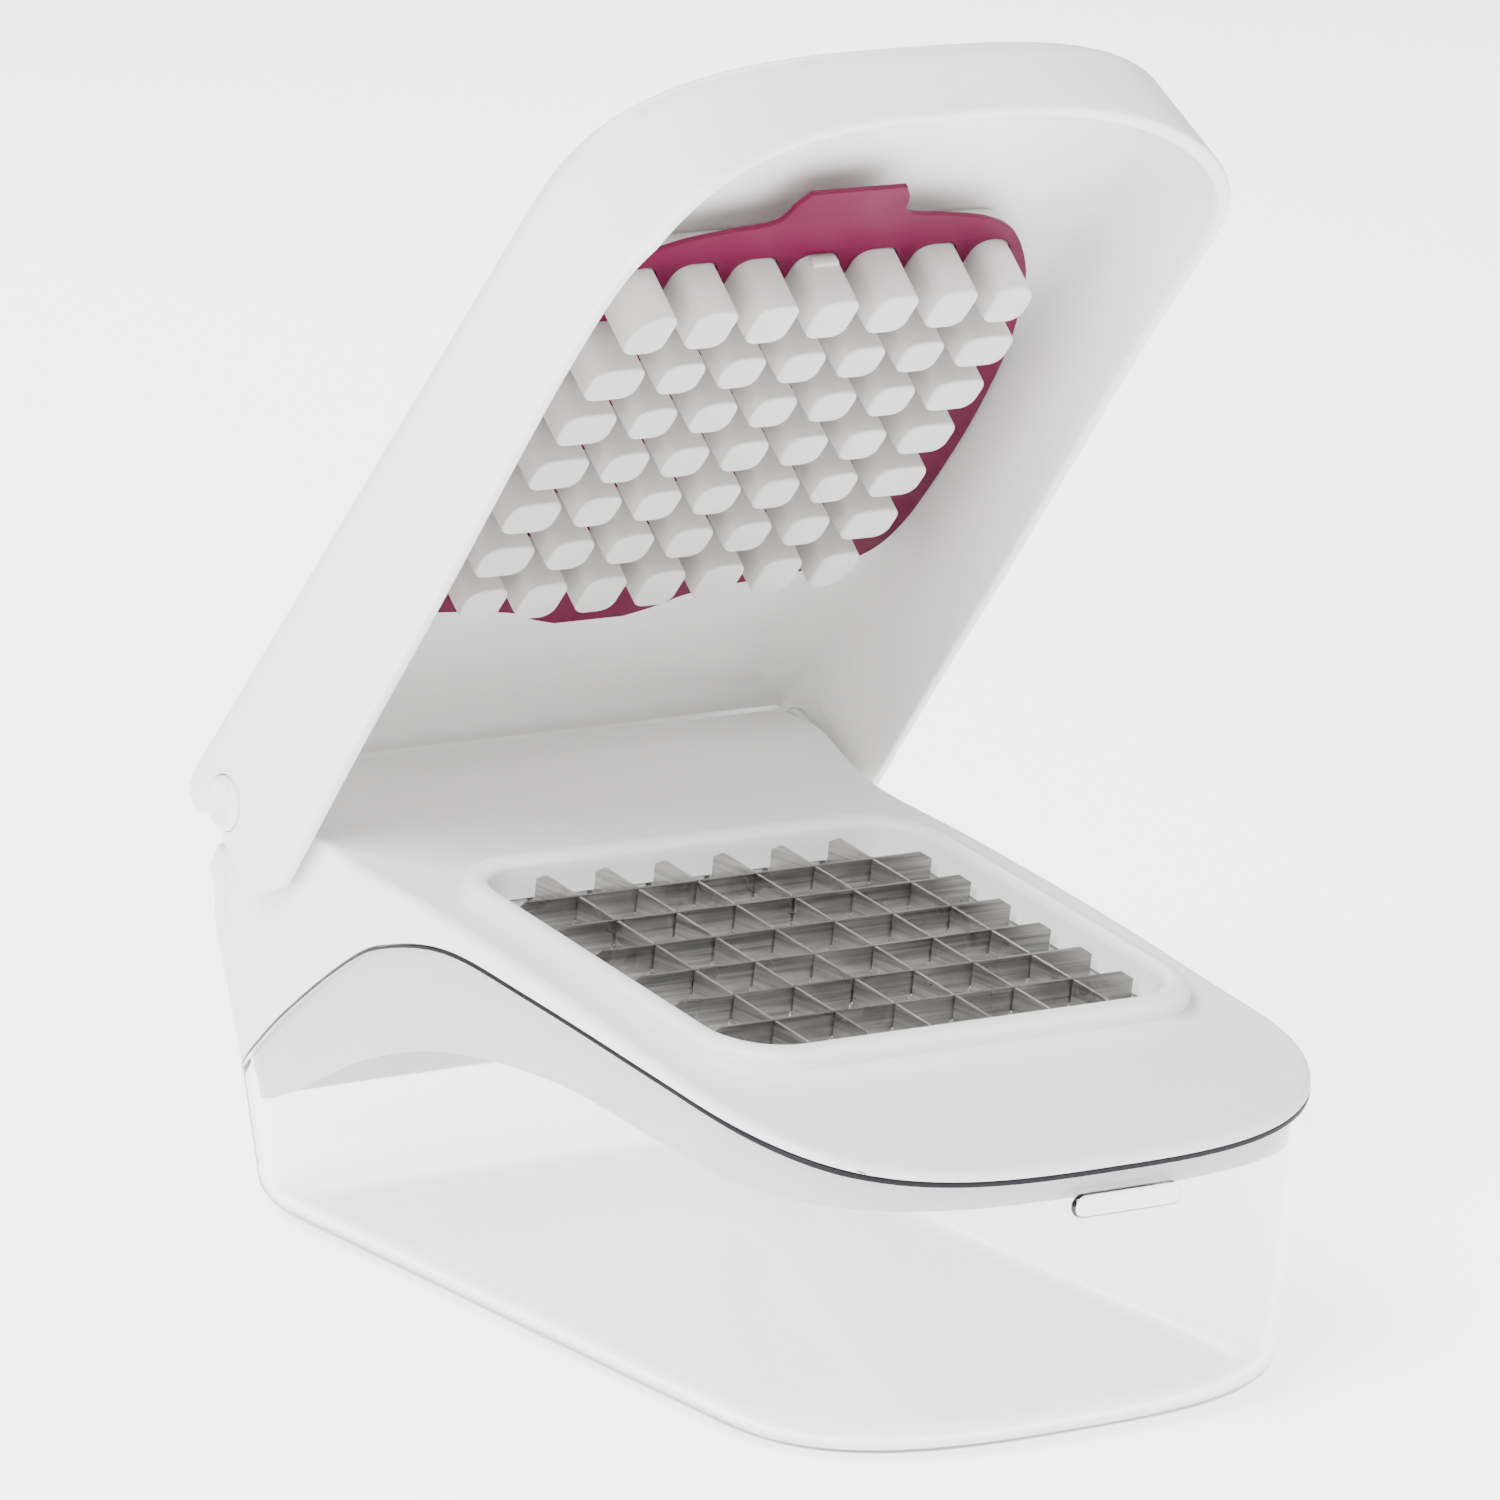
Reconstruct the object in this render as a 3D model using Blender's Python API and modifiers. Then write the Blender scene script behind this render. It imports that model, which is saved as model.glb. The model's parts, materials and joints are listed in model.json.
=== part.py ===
"""Vegetable dicer: a clear catch container, a sloping cutting head with a crossed
blade grid, and a hinged lid that carries pusher posts and their cleaning comb."""

import math

import bmesh
import bpy
from mathutils import Matrix, Vector

MM = 0.001
CELL = 0.012                        # pitch of the blade grid and of the posts

# Placement of the grid, the deck and the hinge
GRID_Y = -0.01595
GRID_Z = 0.066
DECK_TILT = math.radians(7.0)
LID_OPEN = math.radians(55.5)
HINGE_Y = 7.93                      # cells behind the grid centre, along the deck
HINGE_BELOW_GRID = 0.25             # cells under the blade tops
HINGE_ABOVE_TIPS = 0.35             # cells above the post tips when closed

# Body: height, half width, front and rear of each level, in mm
BODY_LEVELS = (
    (8.5, 53.9, -81.7, 104.0),
    (27.6, 55.4, -82.8, 108.0),
    (42.0, 56.2, -83.4, 112.8),
    (50.4, 56.4, -83.6, 114.6),
    (56.0, 56.4, -83.6, 114.8),
    (61.5, 56.4, -83.6, 117.0),
    (69.6, 56.2, -83.6, 111.0),
    (85.2, 56.0, -83.6, 107.5),
)
BASE_FILLET = 8.5
FILLET_STEPS = 4
FRONT_CURVE_FROM = -42.0
FRONT_POWER = 3.0
REAR_CURVE_DEPTH = 24.0
REAR_POWER = 4.5
CORNER_STEPS = 8

CONTAINER_WALL = 2.2
CONTAINER_FLOOR = 2.4
SEAM_GAP = 0.4
HEAD_WALL = 2.4
SKIRT_OUTSIDE = 2.6
SKIRT_INSIDE = 4.6
LEDGE = 2.5                         # thickness of the step between wall and skirt
LEDGE_OVERLAP = 0.2

# Pill-shaped finger boss on the container's front
BOSS_LENGTH = 21.6
BOSS_HEIGHT = 4.0
BOSS_Z = 41.6
BOSS_FRONT = -84.6
BOSS_BACK = -82.5

# Side-view lines of the body, in cells from the grid centre, front to back
SEAM_LINE = (
    (-9.0, -2.2), (-7.5, -1.75), (-6.4, -1.42), (-4.85, -1.03), (-2.2, -0.69),
    (0.33, -0.41), (2.4, -0.26), (4.02, -0.55), (5.07, -1.03), (6.8, -2.2),
    (8.7, -3.65), (10.0, -3.7),
)
SKIRT_LINE = (
    (-9.0, -2.15), (-7.5, -2.05), (-5.13, -1.85), (-2.8, -1.68), (-0.27, -1.5),
    (2.56, -1.75), (4.92, -2.44), (7.47, -3.63), (10.0, -4.2),
)
DECK_LINE = (
    (-9.0, -2.1), (-6.8, -1.4), (-5.0, -0.87), (-3.0, -0.55), (0.0, -0.09),
    (3.0, 0.27), (5.5, 0.52), (6.9, 1.03), (7.4, 1.1),
)
LINE_STEPS = 3

# Hinge hump, in mm round the hinge axis
HUMP_RADIUS = 5.04
HUMP_STEPS = 6
HUMP_HOLLOW_RADIUS = 2.7
HUMP_HOLLOW_HALF = 43.0
HUMP_HOLLOW_DEPTH = 1.2
HUMP_FLOOR = 5.6
UPPER_HOLLOW_FROM = 2.6
UPPER_HOLLOW_TO = 7.3
SHELF_LINE = ((8.32, 0.0), (8.7, -0.12), (9.2, -0.22), (9.55, -0.33), (9.85, -0.6))
SHELF_UNDERSIDE = ((8.3, -0.2), (8.7, -0.36), (9.05, -0.5), (9.3, -0.62))

# Blade opening
RIM_HALF = 4.03
RIM_CORNER = 1.23
RIM_TOP = 0.15
RIM_BOTTOM = -0.42
RIM_EDGE = 0.08
OPENING_HALF_X = 3.7
OPENING_HALF_Y = 3.6
OPENING_CORNER = 0.9
OPENING_CUT = (-2.0, 1.0)

# Screws up through the frame into the middle of each side of the rim
SCREW_PLACES = ((0.0, -3.865), (3.865, 0.0), (0.0, 3.865), (-3.865, 0.0))
PILOT_RADIUS = 1.2
PILOT_TOP = -0.02
SCREW_SHAFT_RADIUS = 0.9
SCREW_SHAFT_TOP = -0.06
SCREW_SHAFT_INTO_HEAD = 0.06
SCREW_HEAD_RADIUS = 2.3
SCREW_HEAD_TOP = -0.975
SCREW_HEAD_BOTTOM = -1.12
SCREW_SLOT_WIDTH = 0.8
SCREW_SLOT_LENGTH = 3.4
SCREW_SLOT_TOP = -1.05
CUT_PAST = 0.2                      # how far, in cells, a cutter runs past a face

# Blades, in cells, with the sheet thickness in mm
BLADE_LINES = (-2.5, -1.5, -0.5, 0.5, 1.5, 2.5)
BLADE_SHEET = 0.55
BLADE_TOP_HALF = 3.35
BLADE_SHOULDER_HALF = 3.55
BLADE_SHOULDER = -0.12
BLADE_TAB_TOP = -0.5
BLADE_TAB_HALF = 3.95
BLADE_BOTTOM = -0.75
LAP_CLEARANCE = 0.6
LAP_DEPTH_GAP = 0.0125

# Frame that holds the blade ends
FRAME_HALF = 4.2
FRAME_CORNER = 1.25
FRAME_TOP = -0.48
FRAME_BOTTOM = -0.95
FRAME_INNER_HALF = 3.68
NOTCH_HALF = 4.0
NOTCH_BOTTOM = -0.8
NOTCH_WIDTH = 1.2

# Pivot pins, in mm from the middle plane and round the hinge axis
PIN_RADIUS = 2.4
PIN_BORE = 2.7
PIN_BORE_END = 45.5
PIN_END = 46.0
PIN_HEAD_RADIUS = 4.8
PIN_HEAD_FROM = 56.7
PIN_HEAD_TO = 61.8
PIN_HEAD_EDGE = 0.6
PIN_SHAFT_INTO_HEAD = 1.5

# Lid shell, in cells in the lid's own frame (N = 0 at the post tips)
LID_HALF = 5.05
LID_WALL = 0.2
LID_TOP = 1.56
LID_SHOULDER = 0.62
LID_SHOULDER_STEPS = 4
LID_FRONT_LOW = (-7.55, 3.6)        # front and curve power of the outline at the rim
LID_FRONT_HIGH = (-7.4, 3.0)        # and at the shoulder
LID_FRONT_LOW_AT = -0.8
LID_FRONT_HIGH_AT = 0.94
LID_FRONT_CURVE_FROM = -4.0
LID_REAR = 8.72
LID_REAR_CORNER = 0.25
LID_REAR_WALL = 0.76
LID_BOTTOM = -1.6
LID_HOLLOW_BOTTOM = -2.2
LID_RIM_LINE = (
    (-9.0, -0.8), (-4.0, -0.8), (-2.0, -0.86), (0.0, -0.97), (2.0, -1.08), (5.0, -1.21), (7.6, -1.36),
    (9.5, -1.45),
)
LID_ARCH_HALF = 4.8
LID_ARCH_RISE = 0.8
LID_ARCH_POWER = 3.0
LID_ARCH_STEPS = 14
LID_ARCH_BACK = -4.6
LID_ARCH_DEPTH = 4.0
REAR_DOOR_TOP = 0.95
REAR_DOOR_CORNER = 0.05
REAR_DOOR_FROM = 7.2
REAR_DOOR_TO = 9.4
EAR_HOLE_RADIUS = 5.1
EAR_HOLE_FROM = 54.7
EAR_HOLE_TO = 70.0
HOOK_LINE = (
    (7.63, -1.9), (7.63, -1.36), (8.28, -1.05), (8.37, 0.07), (8.12, 0.09), (8.12, 0.47), (8.3, 0.6),
    (8.44, 0.55), (8.69, 0.76), (9.6, 0.85), (9.6, -1.9),
)

# Pusher posts, in cells
POST_LINES = (-3, -2, -1, 0, 1, 2, 3)
POST_HALF = 0.36
POST_OUTWARD = 0.18                 # extra width of the two outer columns
POST_CORNER = 0.2
CORNER_POST_RADIUS = 0.5
POST_TIP = -0.05
POST_CHAMFER = 0.05
POST_CORNER_STEPS = 3
PLATE_HALF = 3.52
PLATE_CORNER = 0.6
PLATE_BOTTOM = 0.98
PLATE_TOP = 1.335
POST_INTO_PLATE = 0.08
CATCH_HALF = 0.21
CATCH_FRONT = -3.5
CATCH_BOTTOM = 0.6
CATCH_TOP = 0.77
CATCH_CORNER = 0.04
CATCH_INTO_POST = 0.06

# Cleaning comb, in cells
COMB_BOTTOM = 0.8
COMB_TOP = 0.95
COMB_CLEARANCE = 0.033
COMB_HALF_OUTLINE = (
    (0.78, -4.84), (0.92, -4.62), (1.1, -4.25), (1.82, -4.12), (2.59, -3.95), (3.18, -3.62), (3.68, -3.0),
    (4.05, -2.3), (4.33, -1.44), (4.52, -0.7), (4.65, 0.2), (4.74, 1.2), (4.76, 2.4), (4.7, 3.3),
    (4.45, 3.9), (3.9, 4.18), (3.1, 4.3), (2.2, 4.42), (1.5, 4.55), (1.1, 4.75), (0.6, 4.93),
)

THROUGH = 200 * MM                  # longer than any part that a cutter passes through

# The planes that flat outlines are drawn in
SIDE_PLANE = Matrix(((0, 0, 1, 0), (1, 0, 0, 0), (0, 1, 0, 0), (0, 0, 0, 1)))
FRONT_PLANE = Matrix(((1, 0, 0, 0), (0, 0, -1, 0), (0, 1, 0, 0), (0, 0, 0, 1)))


# ---------------------------------------------------------------- scene and materials

def clear_scene():
    for obj in list(bpy.data.objects):
        bpy.data.objects.remove(obj, do_unlink=True)


def new_collection(name):
    collection = bpy.data.collections.new(name)
    bpy.context.scene.collection.children.link(collection)
    return collection


def material(name, colour, roughness, metallic=0.0, transmission=0.0):
    mat = bpy.data.materials.new(name)
    mat.use_nodes = True
    shader = mat.node_tree.nodes["Principled BSDF"]
    shader.inputs["Base Color"].default_value = (*colour, 1.0)
    shader.inputs["Roughness"].default_value = roughness
    shader.inputs["Metallic"].default_value = metallic
    shader.inputs["Transmission Weight"].default_value = transmission
    return mat


def clear_plastic():
    return material("clear_plastic", (0.86, 0.89, 0.9), 0.08, transmission=0.9)


def white_plastic():
    return material("white_plastic", (0.86, 0.86, 0.85), 0.35)


def post_plastic():
    return material("post_plastic", (0.82, 0.83, 0.83), 0.4)


def magenta_plastic():
    return material("magenta_plastic", (0.32, 0.02, 0.09), 0.4)


def grey_plastic():
    return material("grey_plastic", (0.55, 0.55, 0.54), 0.5)


def blade_steel():
    return material("blade_steel", (0.62, 0.62, 0.61), 0.3, metallic=1.0)


def screw_steel():
    return material("screw_steel", (0.5, 0.5, 0.5), 0.35, metallic=1.0)


# ---------------------------------------------------------------- outlines

def in_cells(points):
    return [(u * CELL, v * CELL) for u, v in points]


def smooth_line(points, steps):
    """Catmull-Rom curve through the control points."""
    padded = [points[0], *points, points[-1]]
    line = []
    for p0, p1, p2, p3 in zip(padded, padded[1:], padded[2:], padded[3:]):
        for step in range(steps):
            t = step / steps
            line.append(tuple(
                0.5 * (2 * b + (c - a) * t + (2 * a - 5 * b + 4 * c - d) * t ** 2
                       + (3 * b - a - 3 * c + d) * t ** 3)
                for a, b, c, d in zip(p0, p1, p2, p3)
            ))
    line.append(points[-1])
    return line


def arc(centre, radius, start, end, steps):
    points = []
    for step in range(steps + 1):
        angle = math.radians(start + (end - start) * step / steps)
        points.append((centre[0] + radius * math.cos(angle), centre[1] + radius * math.sin(angle)))
    return points


def rounded_rectangle(left, right, low, high, radius, steps):
    points = arc((right - radius, high - radius), radius, 0, 90, steps)
    points += arc((left + radius, high - radius), radius, 90, 180, steps)
    points += arc((left + radius, low + radius), radius, 180, 270, steps)
    points += arc((right - radius, low + radius), radius, 270, 360, steps)
    return points


def quarter_curve(half_width, depth, power, steps):
    """Offsets across and along, from the side of the body round to its end."""
    points = []
    for step in range(steps + 1):
        angle = math.radians(90 * step / steps)
        across = half_width * max(math.cos(angle), 0.0) ** (2 / power)
        along = depth * math.sin(angle) ** (2 / power)
        points.append((across, along))
    points[-1] = (0.0, depth)
    return points


def body_outline(half_width, front, rear, inset):
    """Plan outline of the body, in mm, with the whole outline moved in by the inset."""
    width = half_width - inset
    front_from = FRONT_CURVE_FROM
    rear_from = rear - REAR_CURVE_DEPTH
    front_quarter = quarter_curve(width, front_from - front - inset, FRONT_POWER, CORNER_STEPS)
    rear_quarter = quarter_curve(width, REAR_CURVE_DEPTH - inset, REAR_POWER, CORNER_STEPS)
    points = [(x, front_from - y) for x, y in reversed(front_quarter)]
    points += [(x, rear_from + y) for x, y in rear_quarter]
    points += [(-x, rear_from + y) for x, y in reversed(rear_quarter[:-1])]
    points += [(-x, front_from - y) for x, y in front_quarter[:-1]]
    return points


def level_at(z):
    """Half width, front and rear of the body at a height in mm."""
    for low, high in zip(BODY_LEVELS, BODY_LEVELS[1:]):
        if z <= high[0]:
            t = max(z - low[0], 0.0) / (high[0] - low[0])
            return [a + (b - a) * t for a, b in zip(low[1:], high[1:])]
    return list(BODY_LEVELS[-1][1:])


def body_ring(z, inset):
    outline = body_outline(*level_at(z), inset)
    return [Vector((x * MM, GRID_Y + y * MM, z * MM)) for x, y in outline]


def body_rings(inset, bottom):
    """Rings from the rounded base up to the top level, moved in by the inset."""
    fillet = BASE_FILLET - bottom
    rings = []
    for step in range(FILLET_STEPS):
        angle = math.radians(90 * step / FILLET_STEPS)
        drawn_in = fillet * (1 - math.sin(angle))
        rings.append(body_ring(bottom + fillet * (1 - math.cos(angle)), inset + drawn_in))
    rings += [body_ring(level[0], inset) for level in BODY_LEVELS]
    return rings


def offset_line(points, drop):
    return [(y, z - drop) for y, z in points]


def clip_line(points, start, end):
    return [point for point in points if start <= point[0] <= end]


def seam_line():
    return smooth_line(SEAM_LINE, LINE_STEPS)


def deck_line():
    return smooth_line(DECK_LINE, LINE_STEPS)


def line_height(points, y):
    for (y0, z0), (y1, z1) in zip(points, points[1:]):
        if y <= y1:
            return z0 + (z1 - z0) * (y - y0) / (y1 - y0)
    return points[-1][1]


# ---------------------------------------------------------------- solids

def place(obj, matrix, parent):
    if parent is None:
        obj.matrix_world = matrix
        return
    obj.parent = parent
    obj.matrix_parent_inverse = parent.matrix_world.inverted()
    obj.matrix_world = matrix


def mesh_object(name, mesh, collection, matrix=Matrix(), parent=None):
    obj = bpy.data.objects.new(name, mesh)
    collection.objects.link(obj)
    place(obj, matrix, parent)
    return obj


def finish_mesh(bm, name):
    bmesh.ops.recalc_face_normals(bm, faces=bm.faces)
    mesh = bpy.data.meshes.new(name)
    bm.to_mesh(mesh)
    bm.free()
    return mesh


def loft_into(bm, rings):
    """Adds one closed solid whose surface runs through the rings, bottom to top."""
    loops = [[bm.verts.new(point) for point in ring] for ring in rings]
    for below, above in zip(loops, loops[1:]):
        count = len(below)
        for i in range(count):
            j = (i + 1) % count
            bm.faces.new((below[i], below[j], above[j], above[i]))
    bm.faces.new(list(reversed(loops[0])))
    bm.faces.new(loops[-1])


def loft(name, rings, collection, matrix=Matrix(), parent=None):
    bm = bmesh.new()
    loft_into(bm, rings)
    return mesh_object(name, finish_mesh(bm, name), collection, matrix, parent)


def flat_solid(name, outlines, thickness, collection, matrix=Matrix(), parent=None):
    """Solid from flat outlines, centred on their plane; an outline inside another is a hole."""
    curve = bpy.data.curves.new(name, "CURVE")
    curve.dimensions = "2D"
    curve.fill_mode = "BOTH"
    curve.extrude = thickness / 2
    for outline in outlines:
        spline = curve.splines.new("POLY")
        spline.points.add(len(outline) - 1)
        for point, (u, v) in zip(spline.points, outline):
            point.co = (u, v, 0.0, 1.0)
        spline.use_cyclic_u = True
    drawn = bpy.data.objects.new(name + "_outline", curve)
    collection.objects.link(drawn)
    depsgraph = bpy.context.evaluated_depsgraph_get()
    mesh = bpy.data.meshes.new_from_object(drawn.evaluated_get(depsgraph))
    bpy.data.objects.remove(drawn)
    bpy.data.curves.remove(curve)
    bm = bmesh.new()
    bm.from_mesh(mesh)
    bmesh.ops.remove_doubles(bm, verts=bm.verts, dist=0.002 * MM)
    bpy.data.meshes.remove(mesh)
    return mesh_object(name, finish_mesh(bm, name), collection, matrix, parent)


def cylinder(name, radius, start, end, collection, matrix=Matrix(), parent=None, sides=32):
    """Cylinder along the local Z of the matrix, from start to end."""
    bm = bmesh.new()
    size = {"radius1": radius, "radius2": radius, "depth": end - start}
    bmesh.ops.create_cone(bm, cap_ends=True, segments=sides, **size)
    bmesh.ops.translate(bm, vec=(0, 0, (start + end) / 2), verts=bm.verts)
    return mesh_object(name, finish_mesh(bm, name), collection, matrix, parent)


def boolean(obj, operation, *others):
    for other in others:
        modifier = obj.modifiers.new(other.name, "BOOLEAN")
        modifier.operation = operation
        modifier.solver = "EXACT"
        modifier.object = other


def cut(obj, *others):
    boolean(obj, "DIFFERENCE", *others)


def join(obj, *others):
    boolean(obj, "UNION", *others)


def keep(obj, *others):
    boolean(obj, "INTERSECT", *others)


def soften(obj, width, segments=2, angle=40.0):
    modifier = obj.modifiers.new("edges", "BEVEL")
    modifier.width = width
    modifier.segments = segments
    modifier.limit_method = "ANGLE"
    modifier.angle_limit = math.radians(angle)


def dress(obj, mat):
    obj.data.materials.append(mat)
    for polygon in obj.data.polygons:
        polygon.use_smooth = True
    return obj


def hide_cutters(collection):
    collection.hide_render = True
    for obj in collection.objects:
        obj.hide_render = True
        obj.display_type = "WIRE"


# ---------------------------------------------------------------- frames

def empty(name, matrix, collection, parent=None):
    obj = bpy.data.objects.new(name, None)
    obj.empty_display_size = CELL
    collection.objects.link(obj)
    place(obj, matrix, parent)
    bpy.context.view_layer.update()
    return obj


def grid_matrix():
    return Matrix.Translation((0, GRID_Y, GRID_Z)) @ Matrix.Rotation(DECK_TILT, 4, "X")


def hinge_matrix():
    return grid_matrix() @ Matrix.Translation((0, HINGE_Y * CELL, -HINGE_BELOW_GRID * CELL))


def lid_matrix():
    opened = hinge_matrix() @ Matrix.Rotation(-LID_OPEN, 4, "X")
    return opened @ Matrix.Translation((0, -HINGE_Y * CELL, -HINGE_ABOVE_TIPS * CELL))


def body_side():
    """Side-view plane through the grid centre, upright."""
    return Matrix.Translation((0, GRID_Y, GRID_Z)) @ SIDE_PLANE


def hinge_centre():
    """The hinge axis in the upright side view, in metres from the grid centre."""
    point = hinge_matrix().translation
    return (point.y - GRID_Y, point.z - GRID_Z)


# ---------------------------------------------------------------- container

def above_line(name, line, collection):
    """Block of everything above a side-view line."""
    ceiling = 3 * CELL
    outline = [*line, (line[-1][0], ceiling), (line[0][0], ceiling)]
    return flat_solid(name, [outline], THROUGH, collection, body_side())


def finger_boss(cutters):
    radius = BOSS_HEIGHT / 2 * MM
    half = BOSS_LENGTH / 2 * MM
    outline = rounded_rectangle(-half, half, -radius, radius, radius, 6)
    depth = (BOSS_BACK - BOSS_FRONT) * MM
    middle = GRID_Y + (BOSS_BACK + BOSS_FRONT) / 2 * MM
    matrix = Matrix.Translation((0, middle, BOSS_Z * MM)) @ FRONT_PLANE
    return flat_solid("finger_boss", [outline], depth, cutters, matrix)


def build_container(parts, cutters):
    container = loft("container", body_rings(0.0, 0.0), parts)
    hollow = loft("container_hollow", body_rings(CONTAINER_WALL, CONTAINER_FLOOR), cutters)
    join(container, finger_boss(cutters))
    cut(container, hollow, above_line("above_seam", in_cells(seam_line()), cutters))
    return dress(container, clear_plastic())


# ---------------------------------------------------------------- cutting head

def head_profile():
    """Side view of the head above the seam, from the front round over the hump."""
    top = in_cells(deck_line())
    hump = arc(hinge_centre(), HUMP_RADIUS * MM, 90, -10, HUMP_STEPS)
    seam = offset_line(in_cells(seam_line()), -SEAM_GAP * MM)
    return [*top, *hump, *in_cells(SHELF_LINE), *reversed(seam)]


def band(name, low, high, half, collection):
    """Block between two side-view lines that start and end at the same places."""
    return flat_solid(name, [[*low, *reversed(high)]], 2 * half, collection, body_side())


def skirt_solid(cutters):
    skirt = loft("skirt", body_rings(SKIRT_OUTSIDE, CONTAINER_FLOOR), cutters)
    low = in_cells(smooth_line(SKIRT_LINE, LINE_STEPS))
    high = offset_line(in_cells(seam_line()), -(SEAM_GAP + LEDGE / 2) * MM)
    keep(skirt, band("skirt_band", low, high, THROUGH, cutters))
    return skirt


def under_deck(y):
    return line_height(in_cells(deck_line()), y) - HEAD_WALL * MM


def lower_hollow(cutters):
    """Space inside the skirt, up to the ledge or to the underside of the deck."""
    hollow = loft("lower_hollow", body_rings(SKIRT_INSIDE, 0.0), cutters)
    ledge = offset_line(in_cells(seam_line()), -(SEAM_GAP + LEDGE) * MM)
    ceiling = [(y, min(z, under_deck(y))) for y, z in ledge]
    floor = [(y, -GRID_Z) for y, z in ceiling]
    keep(hollow, band("lower_hollow_band", floor, ceiling, THROUGH, cutters))
    return hollow


def upper_hollow(cutters):
    """Space inside the upper wall, behind the place where the deck leaves the ledge."""
    hollow = loft("upper_hollow", body_rings(HEAD_WALL, 0.0), cutters)
    hump_floor = hinge_centre()[1] - HUMP_FLOOR * MM
    ceiling = [(y, min(z - HEAD_WALL * MM, hump_floor)) for y, z in in_cells(deck_line())]
    ceiling = clip_line(ceiling, UPPER_HOLLOW_FROM * CELL, UPPER_HOLLOW_TO * CELL)
    ceiling += in_cells(SHELF_UNDERSIDE)
    ledge = offset_line(in_cells(seam_line()), -(SEAM_GAP + LEDGE - LEDGE_OVERLAP) * MM)
    floor = [(y, line_height(ledge, y)) for y, z in ceiling]
    outline = [*floor, *reversed(ceiling)]
    keep(hollow, flat_solid("upper_hollow_band", [outline], THROUGH, cutters, body_side()))
    return hollow


def hump_hollow(cutters):
    """Slot up into the hinge hump, between its two solid ends."""
    axis_y, axis_z = hinge_centre()
    radius = HUMP_HOLLOW_RADIUS * MM
    outline = arc((axis_y, axis_z), radius, 0, 180, HUMP_STEPS)
    floor = axis_z - HUMP_HOLLOW_DEPTH * CELL
    outline += [(axis_y - radius, floor), (axis_y + radius, floor)]
    return flat_solid("hump_hollow", [outline], 2 * HUMP_HOLLOW_HALF * MM, cutters, body_side())


def rim_outline(half, corner, steps=5):
    return in_cells(rounded_rectangle(-half, half, -half, half, corner, steps))


def deck_slab(name, outlines, low, high, collection, parent=None):
    """Flat solid square to the deck, between two depths in cells."""
    matrix = grid_matrix() @ Matrix.Translation((0, 0, (low + high) / 2 * CELL))
    return flat_solid(name, outlines, (high - low) * CELL, collection, matrix, parent)


def raised_rim(cutters):
    rim = deck_slab("raised_rim", [rim_outline(RIM_HALF, RIM_CORNER)], RIM_BOTTOM, RIM_TOP, cutters)
    soften(rim, RIM_EDGE * CELL)
    return rim


def blade_opening(cutters):
    outline = in_cells(rounded_rectangle(
        -OPENING_HALF_X, OPENING_HALF_X, -OPENING_HALF_Y, OPENING_HALF_Y, OPENING_CORNER, 5))
    return deck_slab("blade_opening", [outline], *OPENING_CUT, cutters)


def deck_cylinder(name, x, y, radius, low, high, collection, parent=None, sides=16):
    matrix = grid_matrix() @ Matrix.Translation((x, y, 0))
    return cylinder(name, radius * MM, low * CELL, high * CELL, collection, matrix, parent, sides)


def hinge_cylinder(name, side, radius, start, end, collection, parent=None, sides=32):
    """Cylinder round the hinge axis, between two distances from the middle plane, in mm."""
    matrix = hinge_matrix() @ Matrix.Rotation(side * math.pi / 2, 4, "Y")
    return cylinder(name, radius * MM, start * MM, end * MM, collection, matrix, parent, sides)


def build_head(parts, cutters, frame):
    head = loft("cutting_head", body_rings(0.0, 0.0), parts, parent=frame)
    profile = flat_solid("head_profile", [head_profile()], THROUGH, cutters, body_side())
    keep(head, profile)
    join(head, skirt_solid(cutters))
    cut(head, lower_hollow(cutters), upper_hollow(cutters), hump_hollow(cutters))
    join(head, raised_rim(cutters))
    cut(head, blade_opening(cutters))
    for i, (x, y) in enumerate(in_cells(SCREW_PLACES)):
        cut(head, deck_cylinder(f"pilot_{i}", x, y, PILOT_RADIUS, FRAME_TOP, PILOT_TOP, cutters))
    for side in (-1, 1):
        cut(head, hinge_cylinder(f"pin_bore_{side}", side, PIN_BORE, PIN_BORE_END, PIN_HEAD_TO, cutters))
    return dress(head, white_plastic())


# ---------------------------------------------------------------- blades and their frame

def blade_outline(slot_side):
    """Side view of one blade; slot_side is +1 for slots from the top, -1 from below."""
    slot_half = (BLADE_SHEET + LAP_CLEARANCE) * MM / 2
    slot_end = BLADE_BOTTOM / 2 - slot_side * LAP_DEPTH_GAP
    top = [(-BLADE_SHOULDER_HALF, BLADE_SHOULDER), (-BLADE_TOP_HALF, 0.0)]
    bottom = [(-BLADE_TAB_HALF, BLADE_TAB_TOP), (-BLADE_TAB_HALF, BLADE_BOTTOM)]
    slots = []
    for line in BLADE_LINES:
        left = line - slot_half / CELL
        right = line + slot_half / CELL
        edge = 0.0 if slot_side > 0 else BLADE_BOTTOM
        slots += [(left, edge), (left, slot_end), (right, slot_end), (right, edge)]
    top_ends = [(BLADE_TOP_HALF, 0.0), (BLADE_SHOULDER_HALF, BLADE_SHOULDER)]
    shoulder_left = [(-BLADE_SHOULDER_HALF, BLADE_TAB_TOP)]
    shoulder_right = [(BLADE_SHOULDER_HALF, BLADE_TAB_TOP)]
    bottom_ends = [(BLADE_TAB_HALF, BLADE_TAB_TOP), (BLADE_TAB_HALF, BLADE_BOTTOM)]
    upper = slots if slot_side > 0 else []
    lower = [] if slot_side > 0 else list(reversed(slots))
    return in_cells([
        *reversed(bottom), *shoulder_left, *top, *upper, *top_ends, *shoulder_right, *bottom_ends, *lower,
    ])


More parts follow.
